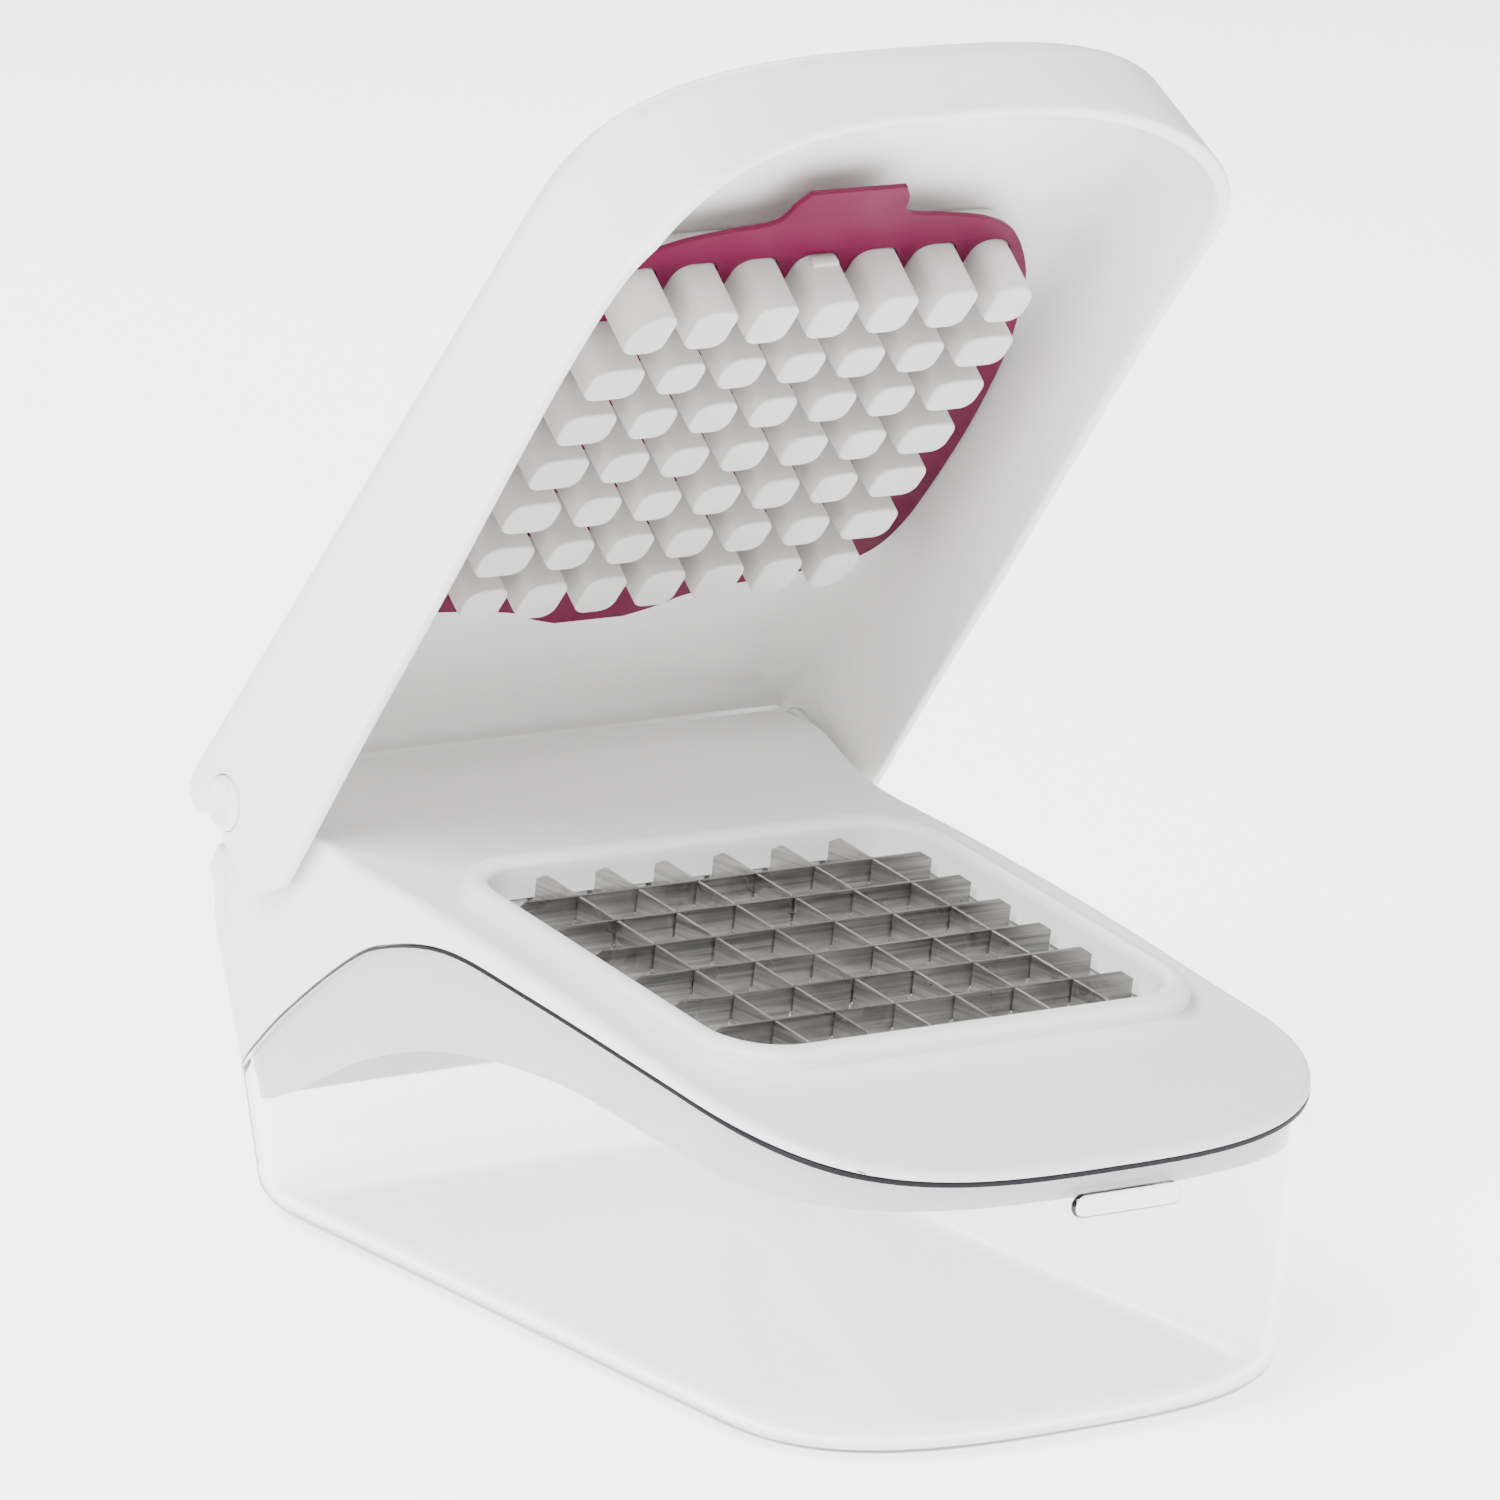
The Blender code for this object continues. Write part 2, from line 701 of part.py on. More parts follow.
def build_blades(parts, frame):
    steel = blade_steel()
    for i, line in enumerate(BLADE_LINES, start=1):
        across = grid_matrix() @ Matrix.Translation((0, line * CELL, 0)) @ FRONT_PLANE
        along = grid_matrix() @ Matrix.Translation((line * CELL, 0, 0)) @ SIDE_PLANE
        sheet = BLADE_SHEET * MM
        dress(flat_solid(f"transverse_blade_{i}", [blade_outline(-1)], sheet, parts, across, frame), steel)
        dress(flat_solid(f"longitudinal_blade_{i}", [blade_outline(1)], sheet, parts, along, frame), steel)


def tab_notches(cutters):
    """All the pockets that take blade tabs, as one cutter."""
    bm = bmesh.new()
    middle = (FRAME_INNER_HALF - CUT_PAST + NOTCH_HALF) / 2
    length = NOTCH_HALF - FRAME_INNER_HALF + CUT_PAST
    height = FRAME_TOP - NOTCH_BOTTOM + CUT_PAST
    for line in BLADE_LINES:
        for side in (-1, 1):
            for x, y, sx, sy in (
                (side * middle, line, length * CELL, NOTCH_WIDTH * MM),
                (line, side * middle, NOTCH_WIDTH * MM, length * CELL),
            ):
                centre = Matrix.Translation((x * CELL, y * CELL, (NOTCH_BOTTOM + height / 2) * CELL))
                size = Matrix.Diagonal((sx, sy, height * CELL, 1))
                bmesh.ops.create_cube(bm, size=1.0, matrix=centre @ size)
    return mesh_object("tab_notches", finish_mesh(bm, "tab_notches"), cutters, grid_matrix())


def build_blade_frame(parts, cutters, frame):
    outer = rim_outline(FRAME_HALF, FRAME_CORNER)
    inner = rim_outline(FRAME_INNER_HALF, OPENING_CORNER)
    ring = deck_slab("blade_frame", [outer, inner], FRAME_BOTTOM, FRAME_TOP, parts, frame)
    cut(ring, tab_notches(cutters))
    for i, (x, y) in enumerate(in_cells(SCREW_PLACES)):
        low, high = FRAME_BOTTOM - CUT_PAST, FRAME_TOP + CUT_PAST
        cut(ring, deck_cylinder(f"frame_hole_{i}", x, y, PILOT_RADIUS, low, high, cutters))
    return dress(ring, grey_plastic())


def build_screws(parts, cutters, frame):
    steel = screw_steel()
    for i, (x, y) in enumerate(in_cells(SCREW_PLACES), start=1):
        screw = deck_cylinder(
            f"frame_screw_{i}", x, y, SCREW_HEAD_RADIUS, SCREW_HEAD_BOTTOM, SCREW_HEAD_TOP, parts, frame)
        shaft = deck_cylinder(
            f"screw_shaft_{i}", x, y, SCREW_SHAFT_RADIUS, SCREW_HEAD_TOP - SCREW_SHAFT_INTO_HEAD,
            SCREW_SHAFT_TOP, cutters)
        half_long = SCREW_SLOT_LENGTH / 2 * MM
        half_wide = SCREW_SLOT_WIDTH / 2 * MM
        sides = (x - half_long, x + half_long, y - half_wide, y + half_wide)
        outline = rounded_rectangle(*sides, half_wide / 2, 2)
        slot = deck_slab(f"screw_slot_{i}", [outline], SCREW_HEAD_BOTTOM - CUT_PAST, SCREW_SLOT_TOP, cutters)
        cut(screw, slot)
        join(screw, shaft)
        dress(screw, steel)


def build_pins(parts, cutters, hinge):
    plastic = grey_plastic()
    for side, word in ((-1, "left"), (1, "right")):
        pin = hinge_cylinder(
            f"pivot_pin_{word}", side, PIN_HEAD_RADIUS, PIN_HEAD_FROM, PIN_HEAD_TO, parts, hinge)
        soften(pin, PIN_HEAD_EDGE * MM)
        shaft_end = PIN_HEAD_FROM + PIN_SHAFT_INTO_HEAD
        join(pin, hinge_cylinder(f"pin_shaft_{word}", side, PIN_RADIUS, PIN_END, shaft_end, cutters))
        dress(pin, plastic)


# ---------------------------------------------------------------- lid

def lid_front_at(n):
    """Front and curve power of the lid's outline at a height."""
    share = (n - LID_FRONT_LOW_AT) / (LID_FRONT_HIGH_AT - LID_FRONT_LOW_AT)
    share = min(max(share, 0.0), 1.0)
    return [low + (high - low) * share for low, high in zip(LID_FRONT_LOW, LID_FRONT_HIGH)]


def lid_ring(n, inset, rear, rear_corner):
    half = LID_HALF - inset
    front, power = lid_front_at(n)
    quarter = quarter_curve(half, LID_FRONT_CURVE_FROM - front - inset, power, CORNER_STEPS)
    points = [(x, LID_FRONT_CURVE_FROM - y) for x, y in reversed(quarter)]
    points += arc((half - rear_corner, rear - rear_corner), rear_corner, 0, 90, 3)
    points += arc((-half + rear_corner, rear - rear_corner), rear_corner, 90, 180, 3)
    points += [(-x, LID_FRONT_CURVE_FROM - y) for x, y in quarter[:-1]]
    return [Vector((x * CELL, y * CELL, n * CELL)) for x, y in points]


def lid_rings(inset, rear, bottom, rear_corner):
    """Rings from below the rim up through the rounded shoulder, moved in by the inset."""
    top = LID_TOP - inset
    shoulder = LID_SHOULDER - inset
    rings = [lid_ring(n, inset, rear, rear_corner) for n in (bottom, LID_FRONT_LOW_AT)]
    for step in range(LID_SHOULDER_STEPS + 1):
        angle = math.radians(90 * step / LID_SHOULDER_STEPS)
        drawn_in = shoulder * (1 - math.cos(angle))
        n = top - shoulder * (1 - math.sin(angle))
        rings.append(lid_ring(n, inset + drawn_in, rear - drawn_in, rear_corner))
    return rings


def below_rim(cutters, matrix):
    line = in_cells(smooth_line(LID_RIM_LINE, LINE_STEPS))
    floor = LID_HOLLOW_BOTTOM * CELL
    outline = [*line, (line[-1][0], floor), (line[0][0], floor)]
    return flat_solid("below_rim", [outline], THROUGH, cutters, matrix @ SIDE_PLANE)


def front_arch(cutters, matrix):
    """Everything under the arched rim of the lid's front wall."""
    line = []
    for step in range(LID_ARCH_STEPS + 1):
        x = LID_ARCH_HALF * (2 * step / LID_ARCH_STEPS - 1)
        rise = LID_ARCH_RISE * (1 - abs(x / LID_ARCH_HALF) ** LID_ARCH_POWER)
        line.append((x, LID_RIM_LINE[0][1] + rise))
    outline = in_cells([*line, (LID_ARCH_HALF, LID_HOLLOW_BOTTOM), (-LID_ARCH_HALF, LID_HOLLOW_BOTTOM)])
    middle = LID_ARCH_BACK - LID_ARCH_DEPTH / 2
    placed = matrix @ Matrix.Translation((0, middle * CELL, 0)) @ FRONT_PLANE
    return flat_solid("front_arch", [outline], LID_ARCH_DEPTH * CELL, cutters, placed)


def rear_door(cutters, matrix):
    """Opening in the lid's rear wall, between the side walls, that clears the hinge hump."""
    half = LID_HALF - LID_WALL
    low, high = REAR_DOOR_TOP - REAR_DOOR_CORNER, REAR_DOOR_TOP
    inner = half - REAR_DOOR_CORNER
    right = [(half, LID_HOLLOW_BOTTOM), (half, low), (inner, high)]
    outline = in_cells([*right, *[(-x, n) for x, n in reversed(right)]])
    middle = (REAR_DOOR_FROM + REAR_DOOR_TO) / 2
    placed = matrix @ Matrix.Translation((0, middle * CELL, 0)) @ FRONT_PLANE
    return flat_solid("rear_door", [outline], (REAR_DOOR_TO - REAR_DOOR_FROM) * CELL, cutters, placed)


def build_lid_shell(parts, cutters, hinge):
    matrix = lid_matrix()
    outside = lid_rings(0.0, LID_REAR, LID_BOTTOM, LID_REAR_CORNER)
    inside = lid_rings(LID_WALL, LID_REAR - LID_REAR_WALL, LID_HOLLOW_BOTTOM, LID_WALL / 4)
    shell = loft("lid_shell", outside, parts, matrix, hinge)
    cut(shell, loft("lid_hollow", inside, cutters, matrix), rear_door(cutters, matrix))
    cut(shell, below_rim(cutters, matrix), front_arch(cutters, matrix))
    cut(shell, flat_solid("rear_hook", [in_cells(HOOK_LINE)], THROUGH, cutters, matrix @ SIDE_PLANE))
    for side in (-1, 1):
        name = f"ear_hole_{side}"
        cut(shell, hinge_cylinder(name, side, EAR_HOLE_RADIUS, EAR_HOLE_FROM, EAR_HOLE_TO, cutters))
    return dress(shell, white_plastic())


def post_sides(i, j):
    """Left, right, front and back of one post, in cells."""
    corner = abs(i) == abs(j) == POST_LINES[-1]
    outward = 0.0 if corner else POST_OUTWARD
    left = i - POST_HALF - (outward if i == POST_LINES[0] else 0.0)
    right = i + POST_HALF + (outward if i == POST_LINES[-1] else 0.0)
    return left, right, j - POST_HALF, j + POST_HALF


def post_outline(i, j, grow):
    """Outline of one post with rounded corners; a corner post is rounder on its outside."""
    left, right, front, back = post_sides(i, j)
    corners = []
    for across, along, start in ((1, 1, 0), (-1, 1, 90), (-1, -1, 180), (1, -1, 270)):
        outside = (across * i == POST_LINES[-1]) and (along * j == POST_LINES[-1])
        radius = (CORNER_POST_RADIUS if outside else POST_CORNER) + grow
        x = right + grow - radius if across > 0 else left - grow + radius
        y = back + grow - radius if along > 0 else front - grow + radius
        corners += arc((x, y), radius, start, start + 90, POST_CORNER_STEPS)
    return corners


def all_posts(name, grow, levels, collection, matrix):
    """All 49 posts as one cutter; each level is a height with a growth of its own."""
    bm = bmesh.new()
    for i in POST_LINES:
        for j in POST_LINES:
            rings = []
            for n, extra in levels:
                outline = post_outline(i, j, grow + extra)
                rings.append([Vector((x * CELL, y * CELL, n * CELL)) for x, y in outline])
            loft_into(bm, rings)
    return mesh_object(name, finish_mesh(bm, name), collection, matrix)


def lid_slab(name, outlines, low, high, collection, parent=None):
    matrix = lid_matrix() @ Matrix.Translation((0, 0, (low + high) / 2 * CELL))
    return flat_solid(name, outlines, (high - low) * CELL, collection, matrix, parent)


def build_pusher_block(parts, cutters, hinge):
    outline = rim_outline(PLATE_HALF, PLATE_CORNER)
    plate = lid_slab("pusher_block", [outline], PLATE_BOTTOM, PLATE_TOP, parts, hinge)
    levels = (
        (POST_TIP, -POST_CHAMFER), (POST_TIP + POST_CHAMFER, 0.0), (PLATE_BOTTOM + POST_INTO_PLATE, 0.0),
    )
    posts = all_posts("posts", 0.0, levels, cutters, lid_matrix())
    catch_back = POST_LINES[0] - POST_HALF + CATCH_INTO_POST
    outline = rounded_rectangle(-CATCH_HALF, CATCH_HALF, CATCH_FRONT, catch_back, CATCH_CORNER, 2)
    catch = lid_slab("catch", [in_cells(outline)], CATCH_BOTTOM, CATCH_TOP, cutters)
    join(plate, posts, catch)
    return dress(plate, post_plastic())


def build_comb(parts, cutters, hinge):
    right = smooth_line(COMB_HALF_OUTLINE, 2)
    left = [(-x, y) for x, y in reversed(right)]
    comb = lid_slab("cleaning_comb", [in_cells([*right, *left])], COMB_BOTTOM, COMB_TOP, parts, hinge)
    levels = ((COMB_BOTTOM - CUT_PAST, 0.0), (COMB_TOP + CUT_PAST, 0.0))
    cut(comb, all_posts("comb_holes", COMB_CLEARANCE, levels, cutters, lid_matrix()))
    return dress(comb, magenta_plastic())


# ---------------------------------------------------------------- assembly

def main():
    clear_scene()
    parts = new_collection("vegetable_dicer")
    cutters = new_collection("cutters")
    frame = empty("head_frame", grid_matrix(), parts)
    hinge = empty("lid_hinge", hinge_matrix(), parts, frame)
    build_container(parts, cutters)
    build_head(parts, cutters, frame)
    build_blades(parts, frame)
    build_blade_frame(parts, cutters, frame)
    build_screws(parts, cutters, frame)
    build_pins(parts, cutters, hinge)
    build_lid_shell(parts, cutters, hinge)
    build_pusher_block(parts, cutters, hinge)
    build_comb(parts, cutters, hinge)
    hide_cutters(cutters)


main()
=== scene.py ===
"""Looks of the vegetable dicer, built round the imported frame."""
import json
import math

import bmesh
import bpy
from mathutils import Matrix, Vector


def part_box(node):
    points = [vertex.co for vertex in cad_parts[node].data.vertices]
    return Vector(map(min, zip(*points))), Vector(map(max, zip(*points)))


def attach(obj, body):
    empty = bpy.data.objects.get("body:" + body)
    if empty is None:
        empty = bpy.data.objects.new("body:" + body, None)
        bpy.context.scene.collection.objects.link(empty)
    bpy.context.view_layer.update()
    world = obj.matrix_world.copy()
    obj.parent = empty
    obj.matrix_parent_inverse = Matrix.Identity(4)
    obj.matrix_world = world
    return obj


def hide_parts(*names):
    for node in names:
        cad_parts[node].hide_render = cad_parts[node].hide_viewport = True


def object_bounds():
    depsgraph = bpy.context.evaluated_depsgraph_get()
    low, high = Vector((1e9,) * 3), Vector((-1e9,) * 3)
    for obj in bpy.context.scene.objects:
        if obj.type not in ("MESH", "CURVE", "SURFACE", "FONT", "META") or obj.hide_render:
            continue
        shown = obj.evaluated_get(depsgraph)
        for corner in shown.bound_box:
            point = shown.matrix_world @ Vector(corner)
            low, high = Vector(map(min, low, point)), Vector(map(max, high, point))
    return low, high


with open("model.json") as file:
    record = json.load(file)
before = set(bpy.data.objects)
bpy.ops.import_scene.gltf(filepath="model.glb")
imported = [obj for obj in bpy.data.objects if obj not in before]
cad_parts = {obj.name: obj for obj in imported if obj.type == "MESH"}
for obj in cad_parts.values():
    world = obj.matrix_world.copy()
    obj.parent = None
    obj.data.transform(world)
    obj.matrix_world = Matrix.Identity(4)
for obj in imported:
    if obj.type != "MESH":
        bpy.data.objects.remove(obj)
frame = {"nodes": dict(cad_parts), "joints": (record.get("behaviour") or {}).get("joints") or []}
CAD_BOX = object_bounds()
MM = 0.001


# ------------------------------------------------------------------ places from the frame

def middle(node):
    low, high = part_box(node)
    return (low + high) / 2


def joint(name):
    return next(j for j in frame["joints"] if j["name"] == name)


BLADE_GAPS = 5                      # from the first blade of a set to the last
ACROSS_FIRST = middle("transverse_blade_1")
ACROSS_LAST = middle("transverse_blade_6")
CELL = (middle("longitudinal_blade_6").x - middle("longitudinal_blade_1").x) / BLADE_GAPS
DECK_TILT = math.atan2(ACROSS_LAST.z - ACROSS_FIRST.z, ACROSS_LAST.y - ACROSS_FIRST.y)
HINGE = Vector(joint("lid_hinge")["pos_m"])
LID_OPEN = math.radians(-joint("lid_hinge")["range_deg"][0])
HINGE_Y = 7.93                      # cells behind the grid centre, along the deck
HINGE_BELOW_GRID = 0.25             # cells below the blades' plane
HINGE_ABOVE_TIPS = 0.35             # cells above the posts' ends, in the lid

DECK_TURN = Matrix.Rotation(DECK_TILT, 4, "X")
GRID = HINGE - DECK_TURN @ Vector((0, HINGE_Y * CELL, -HINGE_BELOW_GRID * CELL))
DECK = Matrix.Translation(GRID) @ DECK_TURN
LID = (Matrix.Translation(HINGE) @ Matrix.Rotation(DECK_TILT - LID_OPEN, 4, "X")
       @ Matrix.Translation((0, -HINGE_Y * CELL, -HINGE_ABOVE_TIPS * CELL)))

# ------------------------------------------------------------------ sizes of the body, in mm

# Height, half width, front and rear of each level (y from the grid centre)
BODY_LEVELS = (
    (8.5, 53.9, -81.7, 104.0),
    (27.6, 55.4, -82.8, 108.0),
    (42.0, 56.2, -83.4, 112.8),
    (50.4, 56.5, -83.6, 115.8),
    (56.0, 56.6, -83.6, 116.0),
    (61.5, 56.6, -83.6, 117.8),
    (69.6, 56.2, -83.6, 111.0),
    (85.2, 56.0, -83.6, 107.5),
)
BASE_FILLET = 8.5
FRONT_FROM = -42.0                  # where the straight sides end and the curved front starts
FRONT_POWER = 3.0
REAR_DEPTH = 24.0
REAR_POWER = 4.5
CONTAINER_WALL = 2.2
CONTAINER_FLOOR = 2.4
FLOOR_MIDDLE = 10.0
# The lip is the clear wall's top edge in a near-black material, as painted shade; its dark band is
# deeper at the front
LIP_GAP = 0.02                      # between the clear wall and the lip on it
LIP_BOTTOM = -0.28                  # the lip's underside and top, from the seam line
LIP_TOP = 0.14
LIP_EASE = 0.15
LIP_CHAMFER = 0.05
LIP_DEEPER = 0.4                    # how much deeper the lip is at the very front
LIP_DEEPER_FROM = -45.0
LIP_DEEPEST_AT = -80.0
BOSS_HALF = 10.8
BOSS_HALF_TALL = 2.0
BOSS_X = 3.2
BOSS_Z = 41.4
BOSS_FRONT = -84.6
BOSS_BACK = -83.25
BOSS_EDGE = ((1.3, 0.0), (0.75, 0.0), (0.4, 0.08), (0.15, 0.28), (0.0, 0.6))    # in, back
SEAM_GAP = 0.4
HEAD_WALL = 2.4
HEAD_EDGE_ROUND = 0.3               # rounding of the head's lower edge, at the seam
SKIRT_OUTSIDE = 2.6                 # how far in from the body's outside the skirt starts and ends
SKIRT_INSIDE = 4.6
SKIRT_EASE = 0.5
SKIRT_STOPS_BELOW = 0.9             # the skirt's inner face ends this far below the deck's edge
UNDER_OVERLAP = 0.6
EDGE_RADIUS = 1.35
RIM_FILLET = 1.7
HUMP_RADIUS = 5.04
HUMP_FROM = 84                      # degrees round the hinge
HUMP_TO = -14
EAR_HOLE_RADIUS = 5.1
PIN_PATH = (                        # radius, and distance from the middle plane
    (0.0, 61.35), (1.2, 61.35), (2.6, 61.5), (3.3, 61.75), (3.8, 61.8), (4.3, 61.68), (4.65, 61.4),
    (4.8, 61.0), (4.8, 57.4), (4.6, 56.85), (4.2, 56.7), (2.4, 56.7), (2.4, 46.4), (2.0, 46.0),
    (0.0, 46.0),
)
DOOR_CORNER = 1.5

# ------------------------------------------------------------------ side views, in cells from the grid

SEAM_LINE = (
    (-9.0, -2.2), (-7.5, -1.75), (-6.4, -1.42), (-4.85, -1.03), (-2.2, -0.69),
    (0.33, -0.41), (2.4, -0.26), (4.02, -0.55), (5.07, -1.03), (6.8, -2.2),
    (8.7, -3.65), (10.0, -3.7),
)
SKIRT_LINE = (
    (-9.0, -2.15), (-7.5, -2.05), (-5.13, -1.85), (-2.8, -1.68), (-0.27, -1.5),
    (2.56, -1.75), (4.92, -2.44), (7.47, -3.63), (10.0, -4.2),
)
DECK_LINE = (
    (-9.0, -2.1), (-6.8, -1.4), (-5.0, -0.87), (-3.0, -0.55), (0.0, -0.09),
    (3.0, 0.27), (5.5, 0.52), (6.9, 1.03), (7.4, 1.1),
)
SHELF_LINE = ((8.32, 0.0), (8.7, -0.12), (9.2, -0.22), (9.55, -0.33), (9.85, -0.6))

# ------------------------------------------------------------------ rim, in cells on the tilted deck

RIM_HALF = 4.03
RIM_CORNER = 1.23
RIM_TOP = 0.15
RIM_CROWN = 0.008
RIM_STRAIGHT_TO = -0.2
RIM_BOTTOM = -0.42
RIM_BAND = 0.3
RIM_ROUNDING = 0.12
OPENING_HALF_X = 3.7
OPENING_HALF_Y = 3.6
OPENING_CORNER = 0.9

# ------------------------------------------------------------------ lid, in cells over the posts' ends

LID_HALF = 5.05
LID_WALL = 0.2
LID_TOP = 1.56
LID_MIDDLE = 0.6
LID_RIM_EASE = 0.06
LID_SHOULDER = 0.62
LID_FRONT_LOW = (-7.55, 3.6)
LID_FRONT_HIGH = (-7.4, 3.0)
LID_FRONT_LOW_AT = -0.8
LID_FRONT_HIGH_AT = 0.94
LID_FRONT_FROM = -4.0
LID_REAR = 8.72
LID_REAR_CORNER = 0.07
LID_REAR_WALL = 0.76
LID_REAR_WALL_BOTTOM = 0.95
LID_RIM_LINE = (
    (-9.0, -0.8), (-4.0, -0.8), (-2.0, -0.86), (0.0, -0.97), (2.0, -1.08), (5.0, -1.21),
    (7.6, -1.36), (9.5, -1.45),
)
LID_ARCH_HALF = 4.8
LID_ARCH_RISE = 0.8
LID_ARCH_POWER = 3.0
HOOK_LINE = (
    (7.63, -1.9), (7.63, -1.36), (8.28, -1.05), (8.37, 0.07), (8.12, 0.09), (8.12, 0.47),
    (8.3, 0.6), (8.44, 0.55), (8.69, 0.76), (9.6, 0.85), (9.6, -1.9),
)

POST_LINES = (-3, -2, -1, 0, 1, 2, 3)
POST_HALF = 0.36                    # from a post's middle to its rear face
POST_HALF_ACROSS = 0.335
POST_HALF_FRONT = 0.3
POST_OUTWARD = 0.18                 # how much wider the outer columns are, on their outer side
POST_OUTWARD_FRONT = 0.14
POST_OUTWARD_REAR = 0.14
POST_CORNER = 0.22
CORNER_POST_RADIUS = 0.42           # of the four corner posts, on their outer side
POST_TIP = -0.05
POST_TIP_CROWN = 0.01
POST_TIP_EASE = 0.045
PLATE_HALF = 3.52
PLATE_CORNER = 0.6
PLATE_BOTTOM = 0.98
PLATE_TOP = 1.335
CATCH_HALF = 0.21
CATCH_FRONT = -3.5
CATCH_REAR = -3.3
CATCH_CORNER = 0.035
COMB_BOTTOM = 0.8
COMB_TOP = 0.885
COMB_CLEARANCE = 0.033
COMB_EASE_MM = 0.2
COMB_HALF_OUTLINE = (
    (0.78, -4.84), (0.92, -4.62), (1.1, -4.25), (1.82, -4.12), (2.59, -3.95), (3.18, -3.62),
    (3.68, -3.0), (4.05, -2.3), (4.33, -1.44), (4.52, -0.7), (4.65, 0.2), (4.74, 1.2), (4.76, 2.4),
    (4.7, 3.3), (4.45, 3.9), (3.9, 4.18), (3.1, 4.3), (2.2, 4.42), (1.5, 4.55), (1.1, 4.75),
    (0.6, 4.93),
)

# ------------------------------------------------------------------ how finely the meshes are divided

CORNER_STEPS = 26
SIDE_STEPS = 34
BASE_FILLET_DEGREES = 9
CONTAINER_WALL_STEPS = 26
FLOOR_SHARES = (0.04, 0.15, 0.3, 0.5, 0.7, 0.85, 0.95)
DECK_STEP = 0.85                    # in mm, as are the places of the first and last rows
DECK_END_STEPS = (0.0, 0.02, 0.08, 0.2, 0.4, 0.7, 1.1, 1.6, 2.2, 3.0)
EDGE_COLUMNS = (0.0, 0.05, 0.2, 0.42, 0.72, 1.05, 1.4, 2.0, 2.8)
COLUMNS_HALF_WIDTH = 56.0
INNER_COLUMNS = 64
HEAD_WALL_STEPS = 14
RIM_STEPS = 12
RIM_SIDE_STEPS = 10
LID_WALL_STEPS = 12
LID_SHOULDER_STEPS = 10
LID_TOP_SHARES = (0.94, 0.8, 0.6, 0.4, 0.2, 0.03)


# ------------------------------------------------------------------ lines and outlines

def smooth_line(points, steps):
    """Catmull-Rom curve through the control points."""
    padded = [points[0], *points, points[-1]]
    line = []
    for p0, p1, p2, p3 in zip(padded, padded[1:], padded[2:], padded[3:]):
        for step in range(steps):
            t = step / steps
            line.append(tuple(
                0.5 * (2 * b + (c - a) * t + (2 * a - 5 * b + 4 * c - d) * t ** 2
                       + (3 * b - a - 3 * c + d) * t ** 3)
                for a, b, c, d in zip(p0, p1, p2, p3)
            ))
    line.append(points[-1])
    return line


def arc(centre, radius, start, end, steps):
    points = []
    for step in range(steps + 1):
        angle = math.radians(start + (end - start) * step / steps)
        points.append((centre[0] + radius * math.cos(angle), centre[1] + radius * math.sin(angle)))
    return points


def rounded_rectangle(left, right, low, high, radius, steps, side_steps=1):
    """Rounded rectangle, with its straight sides divided."""
    corners = (
        arc((right - radius, high - radius), radius, 0, 90, steps),
        arc((left + radius, high - radius), radius, 90, 180, steps),
        arc((left + radius, low + radius), radius, 180, 270, steps),
        arc((right - radius, low + radius), radius, 270, 360, steps),
    )
    points = []
    for corner, following in zip(corners, corners[1:] + corners[:1]):
        points += corner
        start = Vector(corner[-1])
        end = Vector(following[0])
        points += [tuple(start.lerp(end, k / side_steps)) for k in range(1, side_steps)]
    return points


def eased_edge(radius, degrees):
    """How far in and how far down each step round an edge of this radius lies."""
    angles = [math.radians(d) for d in degrees]
    return [(radius * (1 - math.cos(a)), radius * (1 - math.sin(a))) for a in angles]


def height_on(line, y):
    """Height of a line of (y, height) points at y."""
    for (y0, z0), (y1, z1) in zip(line, line[1:]):
        if y <= y1:
            return z0 + (z1 - z0) * (y - y0) / (y1 - y0)
    return line[-1][1]


def in_mm(points):
    """The same points in mm, from cells."""
    scale = CELL / MM
    return [(y * scale, z * scale) for y, z in points]


GRID_MM = GRID / MM
SEAM = in_mm(smooth_line(SEAM_LINE, 10))
SKIRT = in_mm(smooth_line(SKIRT_LINE, 10))
LEVELS = smooth_line(BODY_LEVELS, 6)


def seam_height(y):
    """Height of the seam above the floor, in mm, at y mm from the grid centre."""
    return GRID_MM.z + height_on(SEAM, y)


def skirt_height(y):
    return GRID_MM.z + height_on(SKIRT, y)


def level_at(z):
    """Half width, front and rear of the body at a height in mm."""
    for low, high in zip(LEVELS, LEVELS[1:]):
        if z <= high[0]:
            t = max(z - low[0], 0.0) / (high[0] - low[0])
            return [a + (b - a) * t for a, b in zip(low[1:], high[1:])]
    return list(LEVELS[-1][1:])


def body_places():
    """Places round the body's outline: which stretch, how far along it, and which side."""
    places = [("front", 90 * (1 - k / CORNER_STEPS), 1) for k in range(CORNER_STEPS)]
    places += [("side", k / SIDE_STEPS, 1) for k in range(SIDE_STEPS)]
    places += [("rear", 90 * k / CORNER_STEPS, 1) for k in range(CORNER_STEPS + 1)]
    return places + [(where, t, -1) for where, t, side in reversed(places[1:-1])]


def body_point(place, z, inset):
    """A point of the body's outline at a height in mm, moved in by the inset."""
    where, t, side = place
    width, front, rear = level_at(z)
    width -= inset
    rear_from = rear - REAR_DEPTH
    if where == "side":
        return Vector((side * width, FRONT_FROM + (rear_from - FRONT_FROM) * t, z))
    angle = math.radians(t)
    power = FRONT_POWER if where == "front" else REAR_POWER
    across = width * max(math.cos(angle), 0.0) ** (2 / power)
    along = math.sin(angle) ** (2 / power)
    if where == "front":
        return Vector((side * across, FRONT_FROM - (FRONT_FROM - front - inset) * along, z))
    return Vector((side * across, rear_from + (REAR_DEPTH - inset) * along, z))


